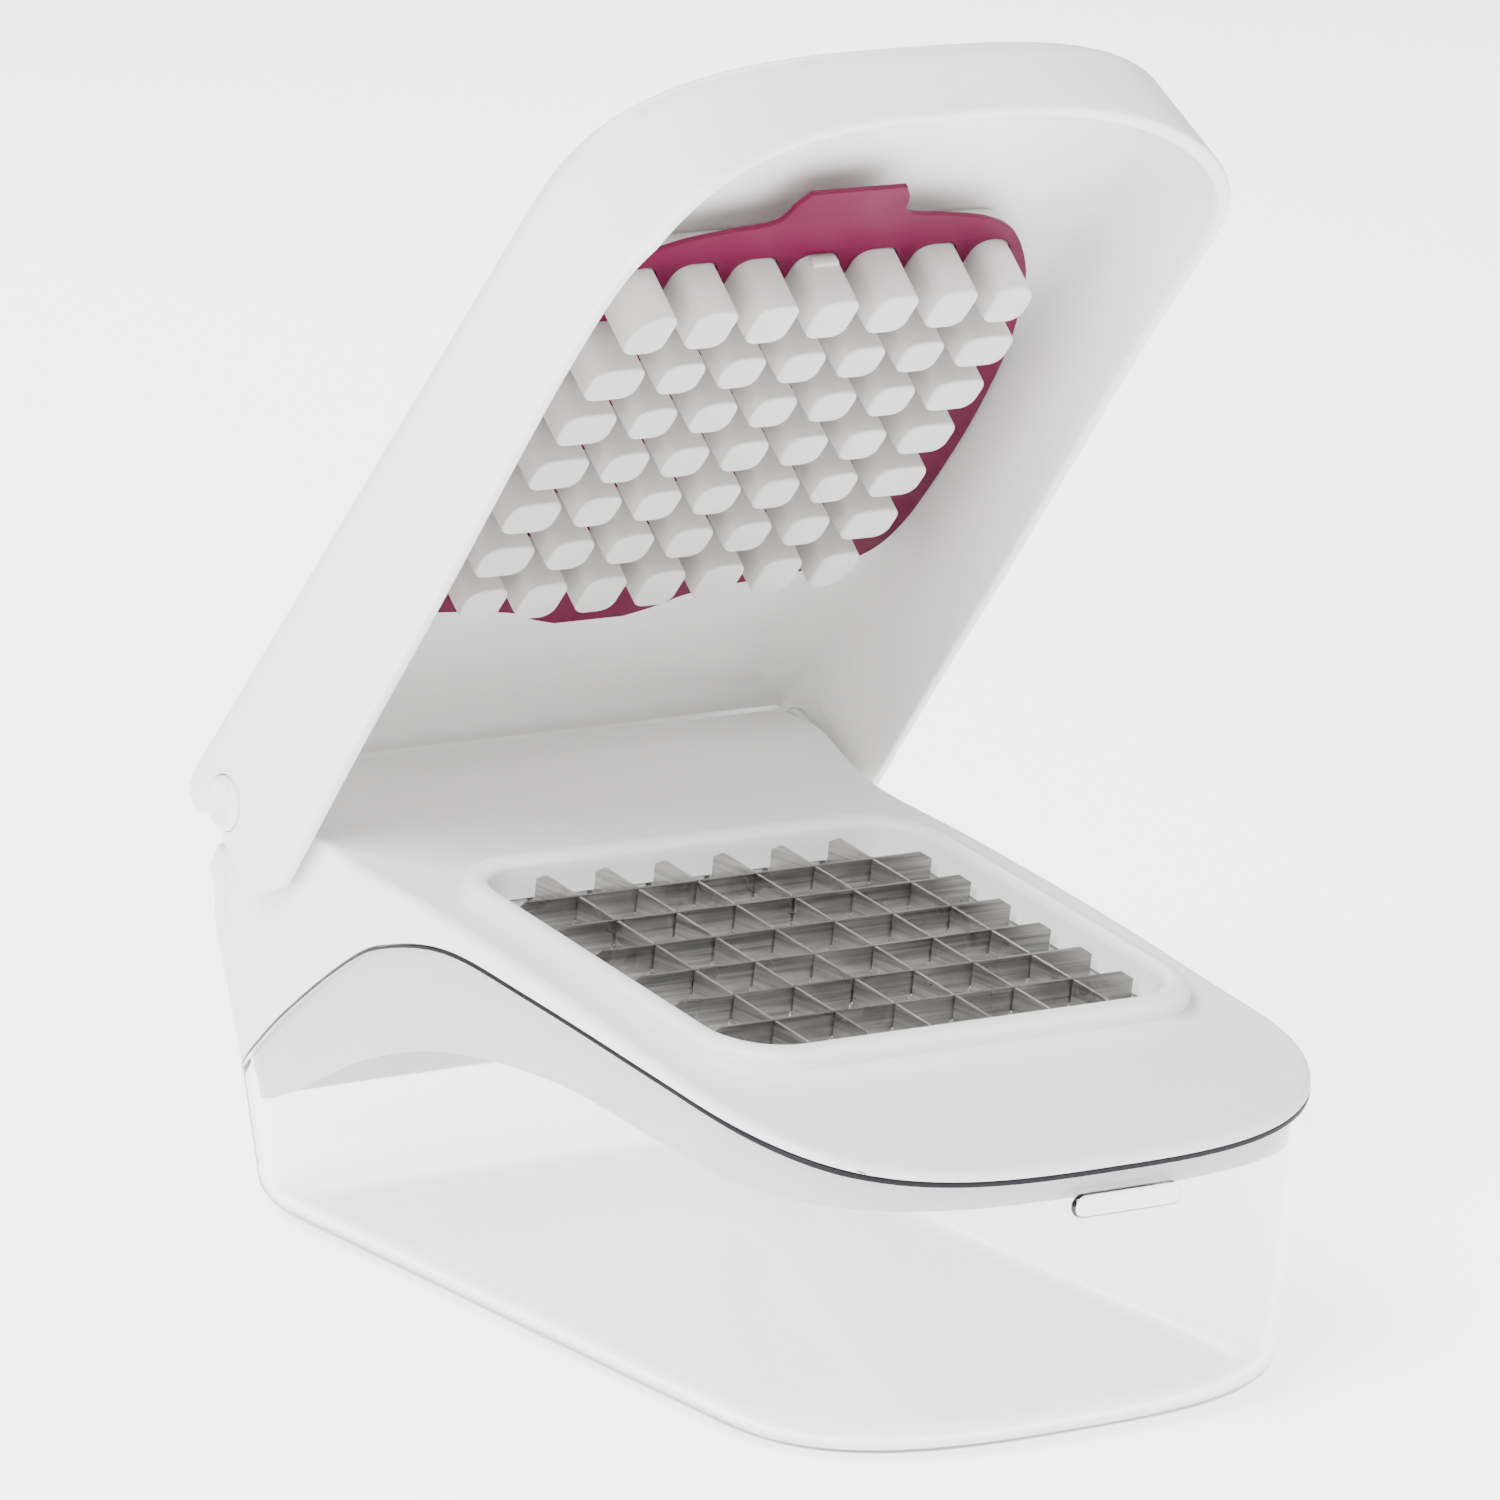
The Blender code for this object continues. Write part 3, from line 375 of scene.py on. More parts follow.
def body_point_on(place, line, raise_by, inset):
    """The point of the outline whose height follows a side-view line."""
    z = line(0.0)
    for _ in range(8):
        z = line(body_point(place, z, inset).y) + raise_by
    return body_point(place, z, inset)


def to_world(point):
    """From mm, with y measured from the grid centre, to metres in the row frame."""
    return Vector((point.x, point.y + GRID_MM.y, point.z)) * MM


# ------------------------------------------------------------------ meshes

def join_loops(bm, below, above):
    """Quads between two closed loops with the same number of points."""
    count = len(below)
    for i in range(count):
        j = (i + 1) % count
        bm.faces.new((below[i], below[j], above[j], above[i]))


def add_rings(bm, rings, closed_tube=False):
    """Quads through a list of rings; the ends are capped, or joined to each other."""
    loops = [[bm.verts.new(p) for p in ring] for ring in rings]
    for below, above in zip(loops, loops[1:]):
        join_loops(bm, below, above)
    if closed_tube:
        join_loops(bm, loops[-1], loops[0])
    else:
        bm.faces.new(list(reversed(loops[0])))
        bm.faces.new(loops[-1])


def shrunk_rings(ring, centre, shares):
    """Copies of a ring drawn in towards a centre."""
    return [[centre + (p - centre) * share for p in ring] for share in shares]


def make(name, bm, material, smooth_angle=35.0, matrix=None):
    """A new object from a bmesh, with its faces outwards and smooth up to the angle."""
    bmesh.ops.remove_doubles(bm, verts=bm.verts, dist=0.01 * MM)
    bmesh.ops.recalc_face_normals(bm, faces=bm.faces)
    if matrix is not None:
        bm.transform(matrix)
    mesh = bpy.data.meshes.new(name)
    bm.to_mesh(mesh)
    bm.free()
    obj = bpy.data.objects.new(name, mesh)
    bpy.context.scene.collection.objects.link(obj)
    obj.data.materials.append(material)
    shade(obj.data, smooth_angle)
    return obj


def shade(mesh, smooth_angle):
    for polygon in mesh.polygons:
        polygon.use_smooth = True
    mesh.set_sharp_from_angle(angle=math.radians(smooth_angle))


def apply_modifiers(obj, smooth_angle):
    depsgraph = bpy.context.evaluated_depsgraph_get()
    mesh = bpy.data.meshes.new_from_object(obj.evaluated_get(depsgraph))
    obj.modifiers.clear()
    obj.data = mesh
    shade(mesh, smooth_angle)


def prism(bm, outline, half_depth, matrix):
    """Closed straight solid from a flat outline, for cutting."""
    rings = [[matrix @ Vector((u, v, w)) for u, v in outline] for w in (-half_depth, half_depth)]
    add_rings(bm, rings)


def subtract(obj, bm, name, smooth_angle):
    """Cuts the closed solid in the bmesh out of an object."""
    bmesh.ops.recalc_face_normals(bm, faces=bm.faces)
    mesh = bpy.data.meshes.new(name)
    bm.to_mesh(mesh)
    bm.free()
    cutter = bpy.data.objects.new(name, mesh)
    bpy.context.scene.collection.objects.link(cutter)
    modifier = obj.modifiers.new(name, "BOOLEAN")
    modifier.operation = "DIFFERENCE"
    modifier.solver = "EXACT"
    modifier.object = cutter
    bpy.context.view_layer.update()
    apply_modifiers(obj, smooth_angle)
    bpy.data.objects.remove(cutter)


# Turn a flat outline to face sideways or forwards
SIDE_PLANE = Matrix(((0, 0, 1, 0), (1, 0, 0, 0), (0, 1, 0, 0), (0, 0, 0, 1)))
FRONT_PLANE = Matrix(((1, 0, 0, 0), (0, 0, -1, 0), (0, 1, 0, 0), (0, 0, 0, 1)))


# ------------------------------------------------------------------ materials

class Nodes:
    """Short calls for building one node material."""

    def __init__(self, name):
        self.material = bpy.data.materials.new(name)
        self.material.use_nodes = True
        self.tree = self.material.node_tree
        self.shader = self.tree.nodes["Principled BSDF"]
        self.place = self.tree.nodes.new("ShaderNodeTexCoord").outputs["Object"]

    def set(self, **values):
        for name, value in values.items():
            self.shader.inputs[name.replace("_", " ")].default_value = value

    def link(self, source, target):
        self.tree.links.new(source, target)

    def stretched(self, rotation, scale):
        node = self.tree.nodes.new("ShaderNodeMapping")
        node.inputs["Rotation"].default_value = rotation
        node.inputs["Scale"].default_value = scale
        self.link(self.place, node.inputs["Vector"])
        return node.outputs["Vector"]

    def noise(self, scale, detail=3.0, rough=0.55, vector=None):
        node = self.tree.nodes.new("ShaderNodeTexNoise")
        node.inputs["Scale"].default_value = scale
        node.inputs["Detail"].default_value = detail
        node.inputs["Roughness"].default_value = rough
        self.link(self.place if vector is None else vector, node.inputs["Vector"])
        return node.outputs["Fac"]

    def ramp(self, source, low, high, start=0.3, end=0.7):
        """Maps a grey value to a range."""
        node = self.tree.nodes.new("ShaderNodeMapRange")
        node.inputs["From Min"].default_value = start
        node.inputs["From Max"].default_value = end
        node.inputs["To Min"].default_value = low
        node.inputs["To Max"].default_value = high
        self.link(source, node.inputs["Value"])
        return node.outputs["Result"]

    def mix(self, factor, first, second):
        node = self.tree.nodes.new("ShaderNodeMix")
        node.data_type = "RGBA"
        node.inputs["A"].default_value = (*first, 1)
        node.inputs["B"].default_value = (*second, 1)
        self.link(factor, node.inputs["Factor"])
        return node.outputs["Result"]

    def bump(self, source, strength, distance, normal=None):
        node = self.tree.nodes.new("ShaderNodeBump")
        node.inputs["Strength"].default_value = strength
        node.inputs["Distance"].default_value = distance
        self.link(source, node.inputs["Height"])
        if normal is not None:
            self.link(normal, node.inputs["Normal"])
        return node.outputs["Normal"]


def moulded_plastic(name, light, dark, roughness, subsurface=0.0, gloss=0.5):
    """Moulded plastic: faint flow shading, uneven gloss and a fine satin grain."""
    n = Nodes(name)
    flow = n.noise(26.0, 3.0)
    n.link(n.mix(n.ramp(flow, 0.0, 1.0), dark, light), n.shader.inputs["Base Color"])
    n.link(n.ramp(n.noise(60.0, 4.0), *roughness), n.shader.inputs["Roughness"])
    waves = n.bump(n.noise(45.0, 1.0), 0.12, 0.0004)
    n.link(n.bump(n.noise(2600.0, 2.0), 0.12, 0.00004, waves), n.shader.inputs["Normal"])
    n.set(IOR=1.5, Specular_IOR_Level=gloss)
    n.set(Subsurface_Weight=subsurface, Subsurface_Radius=(0.004, 0.0036, 0.0032))
    n.shader.inputs["Subsurface Scale"].default_value = 0.6
    return n.material


def clear_plastic():
    """Clear moulded plastic: nearly colourless, with a little flow waviness."""
    n = Nodes("clear_plastic")
    n.link(n.mix(n.ramp(n.noise(18.0), 0.0, 1.0), (0.955, 0.965, 0.97), (0.975, 0.98, 0.985)),
           n.shader.inputs["Base Color"])
    n.link(n.ramp(n.noise(70.0, 4.0), 0.015, 0.05), n.shader.inputs["Roughness"])
    n.link(n.bump(n.noise(38.0, 1.5), 0.06, 0.0004), n.shader.inputs["Normal"])
    n.set(IOR=1.49, Transmission_Weight=1.0)
    return n.material


def brushed_steel(name, along, dark, light):
    """Brushed sheet steel, with the grain along one direction of the deck."""
    n = Nodes(name)
    squash = (30.0, 1400.0, 1400.0) if along == "x" else (1400.0, 30.0, 1400.0)
    grain = n.noise(1.0, 4.0, 0.6, n.stretched((-DECK_TILT, 0, 0), squash))
    broad = n.noise(90.0, 2.0)
    n.link(n.mix(n.ramp(grain, 0.0, 1.0), dark, light), n.shader.inputs["Base Color"])
    n.link(n.ramp(broad, 0.24, 0.38), n.shader.inputs["Roughness"])
    n.link(n.bump(grain, 0.25, 0.00005), n.shader.inputs["Normal"])
    n.set(Metallic=1.0)
    return n.material


def make_materials():
    return {
        "white": moulded_plastic("white_plastic", (0.86, 0.855, 0.845), (0.83, 0.825, 0.815),
                                 (0.30, 0.42), subsurface=0.06),
        # The posts' warm grey-white, darkened further as painted shade for their place inside the lid
        "post": moulded_plastic("post_plastic", (0.58, 0.57, 0.555), (0.54, 0.53, 0.52),
                                (0.34, 0.46), subsurface=0.03),
        "magenta": moulded_plastic("magenta_plastic", (0.11, 0.001, 0.03), (0.085, 0.001, 0.023),
                                   (0.42, 0.54), gloss=0.15),
        # Painted shade: near-black plastic for the clear wall's top edge, standing in for the dark look
        # of a clear edge
        "lip": moulded_plastic("lip_painted_shade", (0.014, 0.014, 0.017), (0.009, 0.009, 0.011),
                               (0.35, 0.45), gloss=0.2),
        "grey": moulded_plastic("grey_plastic", (0.60, 0.60, 0.59), (0.55, 0.55, 0.54), (0.4, 0.52)),
        "clear": clear_plastic(),
        # The blades are one steel: the across blades get a darker copy as painted shade, the along
        # blades a lighter copy as painted reflection
        "steel_x_painted_shade": brushed_steel("blade_steel_across_painted_shade", "x", (0.15, 0.147, 0.142), (0.36, 0.352, 0.34)),
        "steel_y_painted_reflection": brushed_steel("blade_steel_along_painted_reflection", "y", (0.30, 0.294, 0.286), (0.62, 0.61, 0.595)),
        "screw": brushed_steel("screw_steel", "x", (0.35, 0.345, 0.34), (0.6, 0.59, 0.58)),
    }


# ------------------------------------------------------------------ container

PLACES = body_places()


def base_rings(inset, bottom):
    """Rings of the rounded base, from its flat up to the wall."""
    rings = []
    for up, inward in eased_edge(BASE_FILLET - bottom, range(0, 91, BASE_FILLET_DEGREES)):
        z = max(bottom + up, 0.0)
        rings.append([body_point(p, z, inset + inward) for p in PLACES])
    return rings


def lip_bottom(y):
    """Height of the lip's underside over the seam line, in mm, at y mm from the grid centre."""
    share = (y - LIP_DEEPER_FROM) / (LIP_DEEPEST_AT - LIP_DEEPER_FROM)
    return LIP_BOTTOM - LIP_DEEPER * min(max(share, 0.0), 1.0)


def wall_top(y):
    return seam_height(y) + lip_bottom(y)


def wall_rings(inset):
    """Rings from the top of the base's rounding up to the lip."""
    tops = [body_point_on(p, wall_top, -LIP_GAP, inset) for p in PLACES]
    rings = []
    for k in range(1, CONTAINER_WALL_STEPS + 1):
        share = k / CONTAINER_WALL_STEPS
        ring = []
        for place, top in zip(PLACES, tops):
            ring.append(body_point(place, BASE_FILLET + (top.z - BASE_FILLET) * share, inset))
        rings.append(ring)
    return rings


def container_piece(material):
    outer = base_rings(0.0, 0.0) + wall_rings(0.0)
    inner = base_rings(CONTAINER_WALL, CONTAINER_FLOOR) + wall_rings(CONTAINER_WALL)
    under = shrunk_rings(outer[0], Vector((0, FLOOR_MIDDLE, 0)), FLOOR_SHARES)
    floor = shrunk_rings(inner[0], Vector((0, FLOOR_MIDDLE, CONTAINER_FLOOR)), FLOOR_SHARES)
    rings = under + outer + list(reversed(inner)) + list(reversed(floor))
    bm = bmesh.new()
    add_rings(bm, [[to_world(p) for p in ring] for ring in rings])
    return make("container_shell", bm, material, 40.0)


def painted_shade_lip_piece(material):
    """The top edge of the clear wall, coloured near-black: painted shade for the dark look of the clear
    edge, which carries light away.
    """
    eased = [(0.0, LIP_TOP - LIP_EASE), (LIP_CHAMFER, LIP_TOP - LIP_CHAMFER), (LIP_EASE, LIP_TOP)]
    path = eased + [(CONTAINER_WALL - inset, rise) for inset, rise in reversed(eased)]
    rings = [[body_point_on(p, seam_height, rise, inset) for p in PLACES] for inset, rise in path]
    rings.insert(0, [body_point_on(p, wall_top, 0.0, 0.0) for p in PLACES])
    rings.append([body_point_on(p, wall_top, 0.0, CONTAINER_WALL) for p in PLACES])
    bm = bmesh.new()
    add_rings(bm, [[to_world(p) for p in ring] for ring in rings], closed_tube=True)
    return make("container_lip", bm, material, 40.0)


def finger_boss_piece(material):
    """Pill-shaped rib low on the container's front."""
    bm = bmesh.new()
    rings = []
    for inward, back in (*BOSS_EDGE, (0.0, BOSS_BACK - BOSS_FRONT)):
        half, tall = BOSS_HALF - inward, BOSS_HALF_TALL - inward
        outline = rounded_rectangle(-half, half, -tall, tall, tall, 10, 6)
        rings.append([to_world(Vector((u + BOSS_X, BOSS_FRONT + back, BOSS_Z + v))) for u, v in outline])
    add_rings(bm, rings)
    return make("finger_boss", bm, material)


# ------------------------------------------------------------------ cutting head

HINGE_SIDE = (HINGE.y / MM - GRID_MM.y, HINGE.z / MM)


def deck_profile():
    """Side view of the deck's top in mm: front edge, deck, hump, shelf, rear edge."""
    deck = [(y, z + GRID_MM.z) for y, z in in_mm(smooth_line(DECK_LINE, 14))]
    shelf = [(y, z + GRID_MM.z) for y, z in in_mm(smooth_line(SHELF_LINE, 8))]
    line = deck + arc(HINGE_SIDE, HUMP_RADIUS, HUMP_FROM, HUMP_TO, 18) + shelf
    line = clip_start(line, lambda p: p[0] - level_at(p[1])[1])
    return clip_start(line[::-1], lambda p: level_at(p[1])[2] - p[0])[::-1]


def clip_start(line, depth):
    """The line from the place where its depth inside the body turns positive."""
    k = next(i for i, p in enumerate(line) if depth(p) > 0)
    outside, inside = line[k - 1], line[k]
    for _ in range(40):
        halfway = tuple((a + b) / 2 for a, b in zip(outside, inside))
        if depth(halfway) > 0:
            inside = halfway
        else:
            outside = halfway
    return [inside, *line[k:]]


def even_points(line, gap, end_gaps):
    """Points along a line at an even gap, closer together at its two ends."""
    lengths = [0.0]
    for p, q in zip(line, line[1:]):
        lengths.append(lengths[-1] + math.dist(p, q))
    total = lengths[-1]
    inner = total - 2 * end_gaps[-1]
    count = int(inner / gap)
    wanted = list(end_gaps) + [end_gaps[-1] + inner * k / count for k in range(1, count)]
    wanted += [total - g for g in reversed(end_gaps)]
    points = []
    k = 0
    for distance in wanted:
        while k < len(lengths) - 2 and lengths[k + 1] < distance:
            k += 1
        t = (distance - lengths[k]) / (lengths[k + 1] - lengths[k])
        points.append(tuple(a + (b - a) * t for a, b in zip(line[k], line[k + 1])))
    return points


def half_width(y, z, inset=0.0):
    """Half width of the body's outline at a place, in mm."""
    width, front, rear = level_at(z)
    width -= inset
    rear_from = rear - REAR_DEPTH
    if y < FRONT_FROM:
        share, power = (FRONT_FROM - y) / (FRONT_FROM - front - inset), FRONT_POWER
    elif y > rear_from:
        share, power = (y - rear_from) / (REAR_DEPTH - inset), REAR_POWER
    else:
        return width
    return width * max(1 - share ** power, 0.0) ** (1 / power)


def edge_distance(x, y, z):
    """Rough distance from the body's outline, in mm, inwards."""
    width, front, rear = level_at(z)
    rear_from = rear - REAR_DEPTH
    if FRONT_FROM <= y <= rear_from:
        return width - abs(x)
    depth, power = REAR_DEPTH, REAR_POWER
    along = y - rear_from
    if y < FRONT_FROM:
        depth, power, along = FRONT_FROM - front, FRONT_POWER, FRONT_FROM - y
    u, v = abs(x) / width, along / depth
    g = (u ** power + v ** power) ** (1 / power)
    slope = math.hypot((u / g) ** (power - 1) / width, (v / g) ** (power - 1) / depth)
    return (1 - g) / slope


def quarter_drop(distance, radius):
    """Height lost at a distance inside an edge rounded by the radius."""
    if distance >= radius:
        return 0.0
    return radius - math.sqrt(max(radius ** 2 - (radius - max(distance, 0.0)) ** 2, 0.0))


def outside_rectangle(u, v, half, corner):
    """Signed distance outside a rounded square."""
    a = abs(u) - (half - corner)
    b = abs(v) - (half - corner)
    return math.hypot(max(a, 0.0), max(b, 0.0)) + min(max(a, b), 0.0) - corner


def along_deck(y, z):
    """Cells along the deck's slope from the grid centre."""
    return (y * math.cos(DECK_TILT) + (z - GRID_MM.z) * math.sin(DECK_TILT)) * MM / CELL


def rim_lift(x, y, z):
    """How far the fillet round the rim raises the deck."""
    outside = outside_rectangle(x * MM / CELL, along_deck(y, z), RIM_HALF, RIM_CORNER) * CELL / MM
    return quarter_drop(outside, RIM_FILLET) if outside > 0 else RIM_FILLET


def column_shares():
    """Shares of the half width, close together at the edge."""
    start = EDGE_COLUMNS[-1]
    inner_width = COLUMNS_HALF_WIDTH - start
    inner = [start + inner_width * k / INNER_COLUMNS for k in range(1, INNER_COLUMNS + 1)]
    right = [1 - d / COLUMNS_HALF_WIDTH for d in (*EDGE_COLUMNS, *inner)]
    return [-s for s in right[:-1]] + list(reversed(right))


def slide_to(point, z, inset):
    """The same place of the outline at another height and inset.

    Along the sides y stays. The front is scaled, and the rear's shift grows towards its end,
    the more gently the further it goes.
    """
    _, front, rear = level_at(point.z)
    _, new_front, new_rear = level_at(z)
    rear_from = rear - REAR_DEPTH
    y = point.y
    if y < FRONT_FROM:
        y = FRONT_FROM + (y - FRONT_FROM) * (FRONT_FROM - new_front - inset) / (FRONT_FROM - front)
    elif y > rear_from:
        shift = new_rear - inset - rear
        power = min(4.0, max(1.0, 20.0 / max(abs(shift), 1.0)))
        y += shift * min((y - rear_from) / REAR_DEPTH, 1.0) ** power
    return Vector((math.copysign(half_width(y, z, inset), point.x), y, z))


def slide_to_line(point, line, raise_by, inset):
    """The same place of the outline where it meets a side-view line."""
    z = line(point.y) + raise_by
    for _ in range(8):
        z = line(slide_to(point, z, inset).y) + raise_by
    return slide_to(point, z, inset)


def add_sheet(bm, rows, keep):
    """Quads between rows of points, where their middle is to be kept."""
    verts = [[bm.verts.new(to_world(p)) for p in row] for row in rows]
    for near, far, near_points, far_points in zip(verts, verts[1:], rows, rows[1:]):
        for j in range(len(near) - 1):
            middle_point = (near_points[j] + far_points[j + 1]) / 2
            if keep(middle_point):
                bm.faces.new((near[j], near[j + 1], far[j + 1], far[j]))
    return verts


def outside_opening(point):
    half = (RIM_HALF + OPENING_HALF_Y) / 2
    return outside_rectangle(point.x * MM / CELL, along_deck(point.y, point.z), half, RIM_CORNER) > 0


def deck_rows(profile, shares):
    """The deck's top, rounded down at the body's edge and up to the rim."""
    rows = []
    for y, z in profile:
        width = half_width(y, z)
        row = []
        for share in shares:
            x = share * width
            drop = quarter_drop(edge_distance(x, y, z), EDGE_RADIUS)
            row.append(Vector((x, y, z - drop + rim_lift(x, y, z))))
        rows.append(row)
    return rows


def under_rows(profile, shares):
    """The deck's underside, one wall thickness below its top."""
    rows = []
    for before, (y, z), after in zip([profile[0], *profile], profile, [*profile[1:], profile[-1]]):
        along = Vector((after[0] - before[0], after[1] - before[1])).normalized()
        y_under, z_under = y + along.y * HEAD_WALL, z - along.x * HEAD_WALL
        width = half_width(y_under, z_under, SKIRT_INSIDE - UNDER_OVERLAP)
        rows.append([Vector((share * width, y_under, z_under)) for share in shares])
    return rows


def head_piece(material):
    shares = column_shares()
    profile = even_points(deck_profile(), DECK_STEP, DECK_END_STEPS)
    rows = deck_rows(profile, shares)
    bm = bmesh.new()
    verts = add_sheet(bm, rows, outside_opening)
    add_sheet(bm, under_rows(profile, shares[::4]), outside_opening)
    edge = [row[-1] for row in rows] + [row[0] for row in reversed(rows)]
    edge_verts = [row[-1] for row in verts] + [row[0] for row in reversed(verts)]
    strips = wall_and_skirt(edge)
    loops = [edge_verts] + [[bm.verts.new(to_world(p)) for p in strip] for strip in strips]
    for upper, lower in zip(loops, loops[1:]):
        for i in range(len(upper)):
            j = (i + 1) % len(upper)
            bm.faces.new((upper[i], lower[i], lower[j], upper[j]))
    add_rim(bm)
    return make("cutting_head_shell", bm, material, 50.0)


def wall_and_skirt(edge):
    """Strips from the deck's edge down the wall, in over the ledge and round the skirt."""
    foot = [slide_to_line(p, seam_height, SEAM_GAP + HEAD_EDGE_ROUND, 0.0) for p in edge]
    strips = []
    for k in range(1, HEAD_WALL_STEPS + 1):
        share = k / HEAD_WALL_STEPS
        strips.append([slide_to(p, p.z + (q.z - p.z) * share, 0.0) for p, q in zip(edge, foot)])
    for inset, rise in eased_edge(HEAD_EDGE_ROUND, (22.5, 45.0, 67.5, 90.0)):
        strips.append([slide_to_line(p, seam_height, SEAM_GAP + rise, inset) for p in edge])
    skirt_top = [slide_to_line(p, seam_height, SEAM_GAP, SKIRT_OUTSIDE) for p in edge]
    strips.append(skirt_top)
    skirt_foot = [slide_to_line(p, skirt_height, SKIRT_EASE, SKIRT_OUTSIDE) for p in edge]
    for share in (0.04, 0.25, 0.5, 0.75, 1.0):
        strips.append([slide_to(p, t.z + (f.z - t.z) * share, SKIRT_OUTSIDE)
                       for p, t, f in zip(edge, skirt_top, skirt_foot)])
    thickness = SKIRT_INSIDE - SKIRT_OUTSIDE
    for angle in (30, 60, 90, 120, 150, 180):
        inset = SKIRT_OUTSIDE + thickness / 2 * (1 - math.cos(math.radians(angle)))
        rise = SKIRT_EASE * (1 - math.sin(math.radians(angle)))
        strips.append([slide_to_line(p, skirt_height, rise, inset) for p in edge])
    for share in (0.3, 0.6, 1.0):
        strips.append([slide_to(p, f.z + (p.z - SKIRT_STOPS_BELOW - f.z) * share, SKIRT_INSIDE)
                       for p, f in zip(edge, skirt_foot)])
    return strips


def add_rim(bm):
    """The raised rim round the blades and the tube below it, as one closed ring."""
    outer_outline = rounded_rectangle(-RIM_HALF, RIM_HALF, -RIM_HALF, RIM_HALF, RIM_CORNER,
                                      RIM_STEPS, RIM_SIDE_STEPS)
    inner_outline = rounded_rectangle(-OPENING_HALF_X, OPENING_HALF_X, -OPENING_HALF_Y, OPENING_HALF_Y,
                                      OPENING_CORNER, RIM_STEPS, RIM_SIDE_STEPS)
    eased = eased_edge(RIM_ROUNDING, range(0, 91, 15))
    path = [(0.0, RIM_BOTTOM), (0.0, RIM_STRAIGHT_TO)]
    path += [(inward, RIM_TOP - down) for inward, down in eased]
    path += [(RIM_BAND / 2, RIM_TOP + RIM_CROWN)]
    path += [(RIM_BAND - inward, RIM_TOP - down) for down, inward in eased]
    path += [(RIM_BAND, RIM_STRAIGHT_TO), (RIM_BAND, RIM_BOTTOM)]
    rings = []
    for inset, n in path:
        share = inset / RIM_BAND
        ring = []
        for (u0, v0), (u1, v1) in zip(outer_outline, inner_outline):
            ring.append(DECK @ (Vector((u0 + (u1 - u0) * share, v0 + (v1 - v0) * share, n)) * CELL))
        rings.append(ring)
    add_rings(bm, rings, closed_tube=True)


# ------------------------------------------------------------------ blades, frame and pins

def dress_node(name, material, bevel):
    """New finish for a CAD node, with its sharp edges eased."""
    node = frame["nodes"][name]
    node.data.materials.clear()
    node.data.materials.append(material)
    weld = node.modifiers.new("weld", "WELD")
    weld.merge_threshold = 0.002 * MM
    edges = node.modifiers.new("edges", "BEVEL")
    edges.width = bevel
    edges.segments = 2
    edges.limit_method = "ANGLE"
    edges.angle_limit = math.radians(40)


def dress_cad(materials):
    for k in range(1, BLADE_GAPS + 2):
        dress_node(f"transverse_blade_{k}", materials["steel_x_painted_shade"], 0.08 * MM)
        dress_node(f"longitudinal_blade_{k}", materials["steel_y_painted_reflection"], 0.08 * MM)
    dress_node("blade_frame", materials["grey"], 0.3 * MM)
    for k in range(1, 5):
        dress_node(f"frame_screw_{k}", materials["screw"], 0.15 * MM)


def pin_piece(side, name, material):
    """Pivot pin: a round button with a shallow dish, and its shaft."""
    bm = bmesh.new()
    rings = []
    for radius, distance in PIN_PATH:
        ring = []
        for k in range(48):
            angle = 2 * math.pi * k / 48
            ring.append(HINGE + Vector((side * distance, max(radius, 0.02) * math.cos(angle),
                                        max(radius, 0.02) * math.sin(angle))) * MM)
        rings.append(ring)
    add_rings(bm, rings)
    return make(name, bm, material, 40.0)


# ------------------------------------------------------------------ lid

def lid_places():
    """Places round the lid's outline: which stretch, how far along it, and which side."""
    places = [("front", 90 * (1 - k / 30), 1) for k in range(30)]
    places += [("side", k / 44, 1) for k in range(44)]
    places += [("corner", 90 * k / 6, 1) for k in range(6)]
    places += [("rear", k / 16, 1) for k in range(9)]
    return places + [(where, t, -1) for where, t, side in reversed(places[1:-1])]


def lid_front_at(n):
    """The lid's front and the power of its curve at a height in cells."""
    share = (n - LID_FRONT_LOW_AT) / (LID_FRONT_HIGH_AT - LID_FRONT_LOW_AT)
    share = min(max(share, 0.0), 1.0)
    return [low + (high - low) * share for low, high in zip(LID_FRONT_LOW, LID_FRONT_HIGH)]


def lid_point(place, inset, rear, n):
    """A point of the lid's outline at a height in cells, moved in by the inset."""
    where, t, side = place
    front, power = lid_front_at(n)
    half = LID_HALF - inset
    corner = LID_REAR_CORNER
    if where == "front":
        angle = math.radians(t)
        across = half * max(math.cos(angle), 0.0) ** (2 / power)
        along = (LID_FRONT_FROM - front - inset) * math.sin(angle) ** (2 / power)
        return side * across, LID_FRONT_FROM - along
    if where == "side":
        return side * half, LID_FRONT_FROM + (rear - corner - LID_FRONT_FROM) * t
    if where == "corner":
        angle = math.radians(t)
        across = half - corner + corner * math.cos(angle)
        return side * across, rear - corner + corner * math.sin(angle)
    return side * (half - corner) * (1 - 2 * t), rear


def rim_height(place):
    """Height of the lid's rim, which arches up over the front."""
    x, y = lid_point(place, 0.0, LID_REAR, LID_FRONT_LOW_AT)
    height = height_on(LID_RIM, y)
    if place[0] == "front" and abs(x) < LID_ARCH_HALF:
        height += LID_ARCH_RISE * (1 - abs(x / LID_ARCH_HALF) ** LID_ARCH_POWER)
    return height


LID_RIM = smooth_line(LID_RIM_LINE, 10)
LID_PLACES = lid_places()


def lid_ring(inset, rear, height):
    points = []
    for place in LID_PLACES:
        n = height(place)
        points.append(Vector((*lid_point(place, inset, rear, n), n)))
    return points


